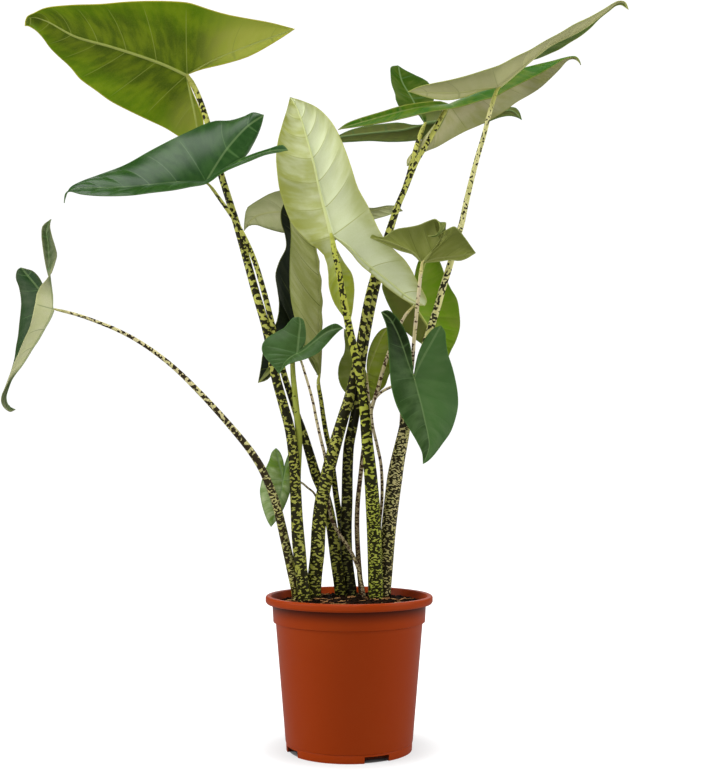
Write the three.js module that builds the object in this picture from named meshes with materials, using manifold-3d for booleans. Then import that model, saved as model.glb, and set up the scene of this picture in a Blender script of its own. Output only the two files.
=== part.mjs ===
// A zebrina alocasia in a plastic nursery pot: three corms in soil, fifteen petioles, fifteen blades.
// Millimetres, +Z up, the front towards -Y. The origin is the middle of the pot's underside.

import * as THREE from 'three';
import { mergeVertices } from 'three/addons/utils/BufferGeometryUtils.js';
import Module from 'manifold-3d';

const wasm = await Module();
wasm.setup();

// Pot
const POT_SEGMENTS = 36;
const POT_HEIGHT = 172.4;
const POT_WALL = 1.8;
const RIM_RADIUS = 95;
const RIM_BOTTOM = 163.4;
const MOUTH_RADIUS = 88.8;
const COLLAR_TOP_RADIUS = 87.4;
const COLLAR_RADIUS = 86.2;
const COLLAR_BOTTOM = 142.8;
const COLLAR_FLOOR = COLLAR_BOTTOM + POT_WALL;
const BODY_TOP_RADIUS = 83.5;
const BODY_BOTTOM_RADIUS = 71.9;
const BODY_BOTTOM = 9.7;
const FOOT_RADIUS = 70.9;
const FOOT_WIDTH = 4.4;
const FLOOR_UNDERSIDE = 3;
const FLOOR_TOP = 5.5;
const PAD_RADIUS = 22;
const NOTCH_COUNT = 4;
const NOTCH_WIDTH = 29.5;
const NOTCH_HEIGHT = 7;
const NOTCH_DEPTH = 14;
const NOTCH_TURN = THREE.MathUtils.degToRad(-64.5);

// Soil and corms
const SEAT_GAP = 0.3;
const HOLE_CLEARANCE = 0.5;
const SOIL_EDGE = 163.5;
const SOIL_MOUND = 4;
const SOIL_RINGS = [24, 44, 62, 76];
const CRUMB_HEIGHT = 0.9;
const CORM_TOP = 120;
const CORM_HEIGHT = 44;
const CORM_SEGMENTS = 16;

// Foliage
const BLADE_THICKNESS = 0.9;
const BLADE_ARCH = 0.06;
const BASAL_ROWS = 5;
const MIDRIB_ROWS = 9;
const CROWDING = 1.4;
const BLADE_COLUMNS = 3;
const NECK_LENGTH = 10;
const NECK_GAP = 0.4;
const NECK_SIDES = 6;
const PETIOLE_SIDES = 8;
const PETIOLE_STEPS = 14;
const SLIM_PETIOLE = 6;

// The front view that the foliage is drawn on: the eye, its tilt, the drawing's middle and focal length
const EYE = new THREE.Vector3(1.5, -1361.6, 323.9);
const EYE_TILT = 0.0631;
const DRAWING = { middleColumn: 350.5, middleRow: 386.5, focal: 1184.2 };

const COLOURS = {
  terracotta: new THREE.Color(0.6, 0.22, 0.09),
  soil: new THREE.Color(0.1, 0.07, 0.05),
  corm: new THREE.Color(0.35, 0.24, 0.15),
  zebra: new THREE.Color(0.62, 0.62, 0.3),
  rosy: new THREE.Color(0.75, 0.6, 0.48),
  smooth: new THREE.Color(0.6, 0.64, 0.28),
  dark: new THREE.Color(0.16, 0.32, 0.16),
  backlit: new THREE.Color(0.38, 0.48, 0.1),
  pale: new THREE.Color(0.62, 0.66, 0.42),
};

// Each corm: where its middle lies and how wide its crown is
const CORMS = {
  left: { x: -51, y: 7, radius: 19 },
  middle: { x: -3, y: 46, radius: 21 },
  right: { x: 34, y: 18, radius: 22 },
};

// Each leaf as drawn on the front view: a point is column, row and, where it is set, depth in millimetres.
// left and right are the leaf's own halves, seen from its upper side with the tip up. A half runs from its
// lobe's end: vein is the basal vein from the petiole, sinus the inner edge, margin the outer edge to the
// tip, and shoulder, where it is set, the share of the margin that lies beside the basal vein. stem climbs
// from the soil to the blade, and girth is its diameter in millimetres at even steps.
const LEAVES = [
  {
    name: 'high_left',
    colour: 'backlit',
    stemColour: 'zebra',
    attach: [187, 75, 62],
    tip: [25, 26, -25],
    rib: [[168, 66], [150, 59], [110, 46], [75, 36], [45, 20, -18], [32, 17], [26, 20]],
    left: {
      lobe: [295, 29, 55],
      vein: [[210, 62], [240, 49], [270, 38]],
      sinus: [[200, 70], [225, 64], [250, 56], [280, 39]],
      margin: [[270, 22.5], [245, 18], [225, 14, 25], [205, 8], [190, 3, 10], [165, 1], [130, 1.5],
        [100, 4], [70, 5], [45, 8, -30], [34, 13], [27, 17]],
    },
    right: {
      lobe: [198, 143, 112],
      vein: [[190, 92], [194, 110], [197, 128]],
      sinus: [[191, 88], [197, 102], [203, 118], [203, 133]],
      margin: [[188, 142], [178, 136, 104], [165, 128], [150, 121], [125, 109, 70], [110, 101], [95, 90],
        [80, 79], [70, 67, 35], [58, 56], [50, 48], [42, 37], [35, 30], [28, 26]],
    },
    stem: [[304, 598, -4], [300, 560, -4], [298, 540, -3], [296, 500, -1], [294, 460, 2], [290, 430, 4],
      [282, 400, 7], [275, 374, 9], [266.5, 330, 12], [255, 290, 15], [244, 250, 24], [236, 222, 31],
      [229, 200, 37], [221, 174, 43], [213, 142, 51], [206, 118, 57], [199, 98, 60], [193, 85, 62]],
    girth: [15, 14, 12, 10, 9, 8, 6.5],
  },
  {
    name: 'dark_left',
    colour: 'dark',
    stemColour: 'zebra',
    attach: [206, 182, -15],
    tip: [64, 203, -78],
    rib: [[185, 182], [160, 184], [130, 187], [100, 188], [75, 189, -68], [66, 193]],
    left: {
      lobe: [288, 150, -55],
      vein: [[225, 169, -26], [245, 160], [268, 152]],
      sinus: [[222, 170, -20], [235, 162], [250, 155], [268, 149], [283, 145]],
      margin: [[280, 152], [265, 155], [250, 161], [235, 167], [222, 173, -48], [207, 183.5, -46],
        [190, 187], [175, 190], [150, 193, -70], [130, 195.5], [100, 196], [82, 194.5], [68, 192]],
    },
    right: {
      lobe: [264, 115, 15],
      vein: [[216, 165], [230, 145], [248, 126]],
      sinus: [[220, 172], [234, 163], [246, 156], [253, 145], [258, 135], [262, 124]],
      margin: [[253, 112.5], [245, 116], [230, 120.5], [215, 121], [205, 124, 22], [190, 131], [175, 138],
        [150, 151], [125, 165, -20], [100, 174.5], [80, 182], [70, 188]],
    },
    stem: [[340.5, 594, 32], [336, 560, 31], [330.5, 520, 30], [324.5, 495, 28], [316, 475, 23],
      [310, 455, 20], [304, 435, 17], [297, 415, 16], [290.5, 395, 15], [284, 374, 14], [273.5, 330, 13],
      [263.5, 290, 12], [255, 262, 12], [248, 245, 12], [239, 227, 11], [229, 212, 6], [219, 198, -2],
      [211, 187, -11]],
    girth: [14, 13.5, 12, 7.5, 6.8, 6, 3.5],
  },
  {
    name: 'far_left',
    colour: 'dark',
    stemColour: 'zebra',
    attach: [53, 309, -50],
    tip: [15.5, 409.6, -62],
    rib: [[50, 317], [44, 328], [38, 339], [32, 348], [25.7, 358.6], [20.5, 366.5], [15.4, 373],
      [11, 380], [8, 388], [6, 395], [5.8, 399], [7.5, 404.5], [11, 407.5]],
    left: {
      lobe: [51, 219, -56],
      vein: [[52, 294], [50.5, 284], [49.5, 276], [49.5, 262], [48.5, 245], [47, 230]],
      sinus: [[53, 296], [51, 284, -50], [47.5, 273, -50], [45, 262], [42.5, 246], [41.5, 235],
        [42.5, 226]],
      margin: [[50, 226], [52, 236], [55, 246], [57, 255, -62], [55, 263], [51, 274, -62],
        [43, 283.5, -68], [38, 290], [36, 300], [33, 315, -78], [30, 327], [25, 338], [20, 350],
        [14, 364, -68], [8, 380.5], [4.7, 389], [2.3, 394], [1.2, 400], [1.8, 404], [5, 408.7],
        [10.3, 411.8]],
    },
    right: {
      lobe: [21, 267.5, -22],
      vein: [[46, 299], [38, 288], [28, 276]],
      sinus: [[49, 296], [43, 284.5], [39, 277], [33, 271], [27, 269]],
      margin: [[17.5, 270], [16, 278], [19, 287], [21.3, 301], [21, 309, -28], [19.5, 323], [18, 337],
        [16.3, 346], [14.5, 359, -45], [10.5, 373], [7.5, 381], [4.5, 389.5], [2.6, 394.5], [2.2, 400],
        [3, 404], [6, 408], [10.6, 410.8]],
    },
    stem: [[297, 598, 8], [291.5, 570, 6], [286, 545, 2], [281.5, 525, -3], [276.5, 505, -8],
      [270, 487, -13], [262, 469, -17], [252, 453, -21], [240, 437.5, -25], [205, 398, -34],
      [170, 364, -40], [138, 341, -44], [115, 329, -47], [102.7, 324, -48], [92.4, 320, -48],
      [79, 315.4, -49], [65, 311.6, -50]],
    girth: [11.5, 11, 9.5, 7.5, 5.5, 4.2, 3.2],
  },
  {
    name: 'centre',
    colour: 'pale',
    stemColour: 'zebra',
    attach: [332, 236, -30],
    tip: [290, 97, -5],
    rib: [[326, 213], [320, 190], [315, 167], [309, 145], [303, 124], [296, 106]],
    left: {
      lobe: [425, 306, -15],
      vein: [[350, 248], [362, 260], [375, 270.5], [392, 284], [409, 298]],
      sinus: [[340, 242.5], [350, 252], [360, 264.5], [372, 274.5], [390, 290], [412, 304]],
      margin: [[427, 301], [423, 291], [417, 281], [411, 269, -28], [404, 259], [395, 250.5],
        [385, 240, -34], [378, 228], [368, 206], [358, 188], [351.5, 168, -38], [346, 152], [339, 135],
        [330, 120], [317, 107.5], [303, 101]],
    },
    right: {
      lobe: [349, 325, 3],
      vein: [[338, 265, -17], [341, 290], [346, 310]],
      sinus: [[337, 249], [344, 262], [352, 274], [354.5, 288], [353.5, 303], [352, 314]],
      margin: [[343.5, 317], [334, 303], [329, 288], [328, 271, -10], [325, 257], [318, 249],
        [310, 243, -14], [299, 232], [291, 222], [284, 205], [279.5, 190], [277, 172, -8], [276, 157],
        [278, 140], [282, 125], [287, 109]],
    },
    stem: [[376, 598, 8], [375, 560, 7], [373.5, 520, 3], [371, 480, -2], [367, 440, -7], [364, 405, -12],
      [361, 385, -15], [357.5, 365, -18], [353, 345, -22], [348, 322, -26], [342, 290, -30],
      [337.5, 265, -32], [334, 249, -31]],
    girth: [17, 17, 16.5, 13, 10, 8, 6],
  },
  {
    name: 'behind_centre',
    colour: 'pale',
    stemColour: 'smooth',
    attach: [318, 220, 62],
    tip: [403, 211, 72],
    rib: [[335, 217], [355, 213], [375, 210], [392, 207.5]],
    left: {
      lobe: [330, 243, 66],
      vein: [[323, 231]],
      sinus: [[320, 236]],
      margin: [[345, 235, 64], [360, 226], [374, 219.5], [386, 216], [396, 212.5]],
    },
    right: {
      lobe: [244, 231, 50],
      vein: [[300, 214], [277, 212], [255, 217]],
      sinus: [[305, 231], [285, 233], [275, 231], [265, 228], [256, 225], [249, 226]],
      margin: [[244.5, 220], [247, 208], [252, 204], [260, 199], [270, 193.5], [282, 190, 48], [300, 189],
        [325, 194], [350, 202], [371, 208], [388, 205.5], [398, 206.5]],
    },
    stem: [[305, 598, 20], [303, 560, 20], [299.5, 520, 18], [297.5, 480, 15], [298.5, 455, 12],
      [299, 440, 9], [297, 415, 5], [294.5, 390, 10], [293, 373, 22], [292.5, 357, 33], [293, 335, 42],
      [297, 310, 48], [303, 275, 53], [310, 248, 57], [315, 232, 60]],
    girth: [9, 8.5, 8, 7.5, 5.5, 5, 4],
  },
  {
    name: 'unfurling',
    colour: 'pale',
    stemColour: 'zebra',
    attach: [318.5, 376, 25],
    tip: [284, 203, 24],
    rib: [[320, 350], [320, 325, 24], [320, 300], [318, 270], [314, 245], [305, 225], [294, 211]],
    left: {
      lobe: [258, 383, 26],
      vein: [[317.2, 364.5, 25], [312.8, 355.8, 25], [305, 353.8, 24], [289.5, 356.3, 24], [275.5, 366.5]],
      sinus: [[315.8, 366.5, 25], [311.5, 358.3, 25], [304.5, 355.8, 24], [290, 358.5, 24], [277, 369], [267, 380]],
      margin: [[261, 366], [263, 352], [269, 338, 26], [277, 320, 34], [279, 305], [277.5, 290],
        [275.5, 275, 38], [279, 262], [286, 247], [285, 235], [281, 222, 32], [281, 211]],
      shoulder: 0.5,
    },
    right: {
      lobe: [309, 352, 6],
      vein: [[314.5, 364, 17]],
      sinus: [[317, 363, 13]],
      margin: [[300, 336, 2], [295, 318], [292, 305], [290, 288, 2], [290, 260], [291, 232, 10],
        [288, 212]],
    },
    stem: [[344, 594, 56], [343, 550, 52], [340, 520, 46], [336, 495, 38], [333, 470, 32], [330, 450, 28],
      [326.5, 435, 26], [323.5, 418, 25], [321, 400, 25], [318.5, 385, 25]],
    girth: [8, 8, 7.6, 7.2, 6.5, 5.6, 4.6],
  },
  {
    name: 'small_front_left',
    colour: 'dark',
    stemColour: 'rosy',
    attach: [297, 354, -23],
    tip: [279, 374, -34],
    rib: [[291, 357], [284, 364]],
    left: {
      lobe: [343.5, 328, -14],
      vein: [[303, 351], [315, 341], [329, 331]],
      sinus: [[301, 349], [306, 345], [313, 339], [320, 331.5], [328, 326], [336, 323.5]],
      margin: [[340, 330.5], [334, 336], [326, 345], [318, 353, -27], [307, 358.5], [295, 362, -33],
        [287, 365], [282, 370]],
    },
    right: {
      lobe: [299, 317, -6],
      vein: [[298, 345], [299, 334], [300, 325]],
      sinus: [[301, 349], [305, 343], [306, 334], [305, 325], [303, 319.5]],
      margin: [[293, 318], [289, 322], [284, 328], [275, 333, -14], [267, 338], [262.5, 344, -20],
        [262, 351], [265, 357], [270, 363], [275, 368.5]],
    },
    stem: [[364, 598, 12], [361, 580, 15], [357, 565, 19], [350, 550, 21], [340, 535, 20], [332, 520, 18],
      [328.5, 500, 16.5], [327, 480, 16], [325, 457, 13], [321, 440, 8], [316.5, 420, 3], [313, 402, -3],
      [309, 387, -9], [304.5, 372, -15], [301, 361, -19]],
    girth: [4.6, 4.4, 4.2, 4, 3.6, 3.2, 2.6],
  },
  {
    name: 'back_right',
    colour: 'dark',
    stemColour: 'zebra',
    attach: [425, 124, 105],
    tip: [522, 120, 112],
    rib: [[445, 121], [470, 118], [495, 113], [512, 111]],
    left: {
      lobe: [334, 138, 78],
      vein: [[405, 130], [385, 132], [360, 134.5]],
      sinus: [[415, 125], [400, 122.5], [385, 123.5], [365, 126], [350, 130], [341, 134]],
      margin: [[340, 142], [350, 142], [370, 141], [390, 142], [412, 141, 101], [440, 136, 109],
        [470, 128], [488, 122], [500, 117.5], [510, 116], [517, 117.5]],
    },
    right: {
      lobe: [398, 65.5, 122],
      vein: [[419, 112], [411, 97], [402, 82]],
      sinus: [[428, 112], [434, 98, 125], [429, 83], [415, 75], [405, 70]],
      margin: [[391, 67], [390.5, 75], [391.5, 84], [395, 94], [396.5, 103, 108], [401, 108], [412, 110],
        [432, 110, 112], [455, 108], [480, 107], [500, 107.5], [512, 107], [516, 108], [519.5, 112]],
    },
    stem: [[351, 594, 42], [347, 560, 40], [346, 530, 36], [347, 500, 31], [347.5, 470, 26],
      [349, 445, 23], [353, 425, 20], [357.5, 400, 20], [360, 380, 20], [362.5, 360, 22],
      [367.5, 330, 27], [373.5, 300, 31], [379, 277, 35], [383, 262, 38], [388, 240, 43], [393, 222, 47],
      [398.5, 205, 53], [404, 190, 59], [408, 178, 64], [412, 163, 70], [416, 148, 79], [421, 133, 92]],
    girth: [14, 14, 12.5, 9, 8, 6.5, 5.5],
  },
  {
    name: 'upper_right',
    colour: 'dark',
    stemColour: 'zebra',
    attach: [449, 104, 60],
    tip: [581, 65, 28],
    rib: [[470, 95], [490, 88], [505, 79], [520, 69.5], [535, 65], [552, 61], [563, 58], [570, 56.5],
      [575.5, 56.5], [579, 59.5, 28]],
    left: {
      lobe: [407, 166, 90],
      vein: [[445, 115], [438, 128], [427, 142], [416, 155]],
      sinus: [[443, 112], [437, 121], [430, 130, 88], [421, 141, 93], [413, 152], [407, 160]],
      margin: [[411, 165.5], [418, 156, 93], [428, 150.5], [437, 147], [450, 139.5], [465, 131.5],
        [480, 125, 92], [490, 120], [505, 111], [516, 102.5], [530, 94.5, 78], [540, 88], [550, 79],
        [560, 69], [566, 62, 40], [570, 59.5], [575, 59.5], [578.5, 62]],
    },
    right: {
      lobe: [338, 129.5, 12],
      vein: [[430, 106], [408, 110], [385, 116], [360, 123]],
      sinus: [[440, 101], [416, 103], [400, 106], [380, 112], [360, 118], [346, 123.5]],
      margin: [[350, 128], [370, 125], [390, 121.5], [410, 117, 32], [430, 112], [460, 107],
        [480, 101, 34], [495, 97], [506, 91], [520, 84, 30], [540, 74], [555, 65], [564, 59.5], [570, 58],
        [575, 57.5], [578.5, 60.5]],
    },
    stem: [[313.5, 598, 8], [315, 575, 7], [317.5, 552, 5], [318.5, 530, 4], [321, 505, 3], [326, 480, 3],
      [331, 460, 4], [336.5, 440, 5], [343, 418, 7], [349, 398, 8], [353.5, 380, 9], [357.5, 360, 10],
      [362.5, 330, 13], [368, 300, 17], [374, 277, 21], [380, 258, 25], [386, 240, 29], [392, 222, 33],
      [398, 205, 37], [404.5, 190, 41], [411, 174, 45], [417, 160, 49], [425, 147, 53], [433, 133, 56],
      [441, 118, 59]],
    girth: [17, 16.5, 15, 9.5, 8.5, 7, 5.5],
  },
  {
    name: 'top_right',
    colour: 'pale',
    stemColour: 'zebra',
    attach: [498, 87, -20],
    tip: [628.5, 9.5, -62],
    rib: [[508, 79], [518, 70.5], [528, 62], [539, 53], [550, 45], [562, 39], [575, 33], [587, 26],
      [600, 16], [611, 7.5], [618, 3], [624, 3.5, -60]],
    left: {
      lobe: [445, 87, 12],
      vein: [[480, 86], [462, 87]],
      sinus: [[482, 83], [462, 84]],
      margin: [[465, 82, 14], [488, 77], [508, 69, 10], [522, 63], [530, 60.5], [538, 58.5],
        [550, 53.5, -10], [560, 49], [570, 42.5], [580, 36.5], [590, 28.5], [600, 18.5, -50], [609, 11.5],
        [616, 6], [621, 5], [626, 8]],
    },
    right: {
      lobe: [408, 91.5, -12],
      vein: [[485, 88.5], [465, 92], [445, 93], [425, 92.5]],
      sinus: [[491, 89], [480, 91.5], [466, 97], [452, 100], [440, 100], [425, 97], [414, 93.5]],
      margin: [[418, 87], [430, 84], [450, 80, -38], [466, 76], [485, 70], [500, 65, -50], [515, 57],
        [530, 50], [545, 41], [560, 33, -62], [575, 24], [590, 17], [605, 8.5], [613, 3.5, -64], [619, 1],
        [625, 2]],
    },
    stem: [[383.5, 598, 25], [385.5, 570, 25], [388.5, 530, 22], [392.5, 495, 20], [396.5, 467, 18],
      [403, 436, 15], [406, 421, 13], [410.5, 405, 12], [417, 378, 11], [424, 350, 10], [430, 330, 9],
      [437, 308, 8], [443, 287, 6], [449, 268, 5], [456, 243, 2], [462, 222, 0], [466, 203, -2],
      [472, 178, -5], [478, 155, -8], [484, 135, -11], [489, 115, -14], [494, 98, -17]],
    girth: [16, 17, 18, 10.5, 8.5, 7.2, 6, 4.8],
  },
  {
    name: 'hanging_front',
    colour: 'dark',
    stemColour: 'rosy',
    attach: [414, 378, -12],
    tip: [423, 464, -44],
    rib: [[418, 393], [422, 408], [425, 422], [428, 435], [429, 447], [426, 457]],
    left: {
      lobe: [441, 325.5, -14],
      vein: [[417.5, 369], [424, 356], [433, 340]],
      sinus: [[414.5, 370], [416, 361.5], [419, 351], [423, 342], [428, 334], [434, 328]],
      margin: [[445, 332], [446, 342], [448, 354], [452, 366], [455, 378, -4], [457.5, 392],
        [458, 405, -6], [455, 420], [450, 433], [443, 443], [434, 455], [428, 461]],
    },
    right: {
      lobe: [381, 312, -20],
      vein: [[409, 366], [403, 348], [396, 330], [389, 318]],
      sinus: [[413, 369], [412, 359], [411, 348], [408, 337], [403, 326], [397, 317.5], [391, 311.5],
        [386, 310]],
      margin: [[383, 317], [386, 325], [388, 340], [389, 358, -30], [390, 375], [392, 390, -34],
        [396, 404], [402, 417], [410, 430], [417, 442], [422, 453]],
    },
    stem: [[377.5, 594, 41], [378, 555, 41], [379.5, 525, 40], [382, 497, 38], [381, 465, 28],
      [377, 445, 18], [372.5, 425, 9], [371.5, 412, 6], [373, 403, 3], [377, 396, 0], [383, 391, -2],
      [391, 387, -4], [401, 383, -5]],
    girth: [4.4, 4.2, 4, 3.8, 3.6, 3.4, 3],
  },
  {
    name: 'small_right',
    colour: 'pale',
    stemColour: 'rosy',
    attach: [422, 263, -35],
    tip: [428, 236, -52],
    rib: [[430, 254], [437, 246], [442, 236], [445, 228, -36], [446, 222.5, -42], [444, 227, -49],
      [438, 234, -51]],
    left: {
      lobe: [476, 253, -24],
      vein: [[435, 258.5], [450, 257], [464, 255]],
      sinus: [[431, 262.5], [441, 261.5], [451, 260], [459, 261], [466, 259]],
      margin: [[471, 246], [465, 237.5], [459, 230], [455, 226.5, -38], [448, 229, -47], [441, 233.5],
        [434, 237.5]],
    },
    right: {
      lobe: [370, 238, -48],
      vein: [[413, 253], [400, 246.5], [385, 241]],
      sinus: [[418, 260], [413, 255], [400, 251], [388, 246], [378, 241.5]],
      margin: [[372, 234.5], [378, 236.5], [384, 237], [391, 231.5], [398, 228.5], [408, 227, -38],
        [418, 225], [428, 221], [435, 219, -44], [439, 223, -50], [439.5, 230], [435, 235.5]],
    },
    stem: [[389, 594, 41], [389, 560, 41], [390, 520, 38], [393.5, 487, 36], [397, 460, 33],
      [400, 437, 28], [401.5, 420, 22], [402, 407, 15], [403.5, 396, 7], [407.5, 384, 1],
      [411.5, 370, -3], [413, 355, -8], [414, 340, -15], [415.5, 325, -23], [417.5, 305, -30],
      [419, 290, -34], [420.5, 275, -36]],
    girth: [4.6, 4.6, 4.4, 4.4, 4.4, 4.4, 4],
  },
  {
    name: 'behind_middle',
    colour: 'pale',
    stemColour: 'rosy',
    attach: [367, 374, 34],
    tip: [366, 404, 37],
    rib: [[367, 384], [367, 395]],
    left: {
      lobe: [344, 329, 44],
      vein: [[360, 362], [353, 348], [348, 337]],
      sinus: [[364, 365], [360, 351], [354, 338], [349, 331]],
      margin: [[344, 336], [345, 345], [344, 353], [340, 361, 42], [338, 370], [338.5, 379, 42],
        [342, 388], [348, 395], [357, 401]],
    },
    right: {
      lobe: [388, 327, 34],
      vein: [[371, 362], [377, 347], [383, 334]],
      sinus: [[366.5, 365], [368, 354], [371, 344], [376, 335], [382, 329]],
      margin: [[392, 336], [394, 350, 32], [392, 366], [388, 378, 33], [385, 386], [380, 391], [375, 397],
        [370, 401.5]],
    },
    stem: [[370, 594, 29], [369.5, 560, 29], [369, 520, 29], [370.5, 480, 29], [371, 440, 30],
      [369.5, 408, 29], [368, 392, 28], [367.2, 383, 29]],
    girth: [4.6, 4.6, 4.4, 4.2, 4, 3.6, 3],
  },
  {
    name: 'behind_right',
    colour: 'backlit',
    stemColour: 'rosy',
    attach: [414, 306, 27],
    tip: [447, 361, 24],
    rib: [[421, 316], [428, 327], [438, 344]],
    left: {
      lobe: [383, 281, 44],
      vein: [[405, 299], [394, 290]],
      sinus: [[411, 298], [403, 289], [393, 283]],
      margin: [[382, 287], [385, 297], [390, 308], [397, 320, 44], [404, 330], [412, 337], [421, 343.5],
        [432, 352, 36], [441, 358]],
    },
    right: {
      lobe: [428, 251, 30],
      vein: [[417, 292], [421, 277], [425, 263]],
      sinus: [[413.5, 297], [414, 286], [415, 273], [418, 262], [423, 254]],
      margin: [[436, 255], [441, 264], [445, 275], [450, 287], [457, 299, 38], [459.5, 313],
        [460, 327, 38], [456, 341], [451, 351]],
    },
    stem: [[361, 592, 40], [358.5, 560, 37], [357, 530, 34], [357.5, 505, 30], [360, 480, 26],
      [363.5, 450, 22], [367.5, 425, 19], [372.5, 405, 17], [378, 388, 16], [383, 370, 15],
      [388, 355, 15], [395, 338, 15], [402, 321, 18], [408, 312, 22]],
    girth: [6.4, 6.2, 5.8, 5.2, 4.8, 4.4, 3.4],
  },
  {
    name: 'small_low_left',
    colour: 'dark',
    stemColour: 'rosy',
    attach: [283, 480, 12],
    tip: [271, 527, 4],
    rib: [[281, 492], [278, 505], [274, 518]],
    left: {
      lobe: [290, 453, 14],
      vein: [[285, 471], [288, 461]],
      sinus: [[284, 473], [284, 467], [286, 460], [288, 455]],
      margin: [[292, 461], [292.5, 472], [292, 482, 12], [290, 492], [287, 501, 10], [283, 510],
        [278, 518.5]],
    },
    right: {
      lobe: [276, 448, 18],
      vein: [[281, 470], [278, 459]],
      sinus: [[284, 473], [284, 464], [281.5, 455], [279, 450.5]],
      margin: [[272, 452], [269, 461], [265, 470], [262, 480, 14], [260, 490], [261, 500, 11], [264, 512],
        [268, 522]],
    },
    stem: [[338, 594, 50], [336, 560, 50], [331, 540, 46], [325, 520, 40], [319, 505, 33], [314, 493, 29],
      [308, 488, 25], [302, 483, 22.5], [295, 480.5, 21.5], [289, 480, 18]],
    girth: [3, 2.8, 2.6, 2.6, 2.5, 2.4, 2.2],
  },
];

// A drawn point with its depth, as millimetres
function place([column, row, depth]) {
  const across = (column - DRAWING.middleColumn) / DRAWING.focal;
  const up = (DRAWING.middleRow - row) / DRAWING.focal;
  const forward = Math.cos(EYE_TILT) - up * Math.sin(EYE_TILT);
  const climb = Math.sin(EYE_TILT) + up * Math.cos(EYE_TILT);
  const reach = (depth - EYE.y) / forward;
  return new THREE.Vector3(EYE.x + reach * across, depth, EYE.z + reach * climb);
}

// Drawn points as millimetres: a depth that isn't set runs evenly between its neighbours that are
function placeAll(points) {
  const travelled = [0];
  for (let i = 1; i < points.length; i += 1) {
    const [column, row] = points[i - 1];
    travelled.push(travelled[i - 1] + Math.hypot(points[i][0] - column, points[i][1] - row));
  }
  const set = points.map((point, i) => i).filter((i) => points[i].length === 3);
  return points.map((point, i) => {
    const after = set.find((k) => k >= i);
    const before = set.findLast((k) => k <= i);
    const span = travelled[after] - travelled[before];
    const share = span > 0 ? (travelled[i] - travelled[before]) / span : 0;
    return place([point[0], point[1], THREE.MathUtils.lerp(points[before][2], points[after][2], share)]);
  });
}

function curveThrough(points) {
  return new THREE.CatmullRomCurve3(placeAll(points));
}

// The stretch of a curve between two shares of its length
function stretch(curve, from, to, steps) {
  const points = [];
  for (let i = 0; i <= steps; i += 1) {
    points.push(curve.getPointAt(THREE.MathUtils.lerp(from, to, i / steps)));
  }
  return new THREE.CatmullRomCurve3(points);
}

function toManifold(geometry) {
  const bare = geometry.clone();
  bare.deleteAttribute('normal');
  bare.deleteAttribute('uv');
  const merged = mergeVertices(bare, 1e-4);
  return new wasm.Manifold(new wasm.Mesh({
    numProp: 3,
    vertProperties: new Float32Array(merged.attributes.position.array),
    triVerts: new Uint32Array(merged.index.array),
  }));
}

function toGeometry(body) {
  const mesh = body.getMesh();
  const geometry = new THREE.BufferGeometry();
  geometry.setAttribute('position', new THREE.BufferAttribute(mesh.vertProperties, 3));
  geometry.setIndex(new THREE.BufferAttribute(mesh.triVerts, 1));
  geometry.computeVertexNormals();
  return geometry;
}

// The largest body, without the scraps that a cut leaves
function largest(body) {
  return body.decompose().reduce((best, piece) => (piece.volume() > best.volume() ? piece : best));
}

function meshOf(name, geometry, colour, roughness) {
  const material = new THREE.MeshStandardMaterial({ color: colour, roughness, metalness: 0 });
  const mesh = new THREE.Mesh(geometry, material);
  mesh.name = name;
  return mesh;
}

// A lathe about +Z from a profile of radius and height
function turned(profile, segments) {
  const outline = profile.map(([radius, height]) => new THREE.Vector2(radius, height));
  const geometry = new THREE.LatheGeometry(outline, segments);
  geometry.rotateX(Math.PI / 2);
  return geometry;
}

// Inner radius of the pot's wall at a height
function wallInside(height) {
  if (height >= COLLAR_FLOOR) {
    const share = (height - COLLAR_BOTTOM) / (RIM_BOTTOM - COLLAR_BOTTOM);
    return THREE.MathUtils.lerp(COLLAR_RADIUS, COLLAR_TOP_RADIUS, share) - POT_WALL;
  }
  const share = (height - BODY_BOTTOM) / (COLLAR_BOTTOM - BODY_BOTTOM);
  return THREE.MathUtils.lerp(BODY_BOTTOM_RADIUS, BODY_TOP_RADIUS, share) - POT_WALL;
}

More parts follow.
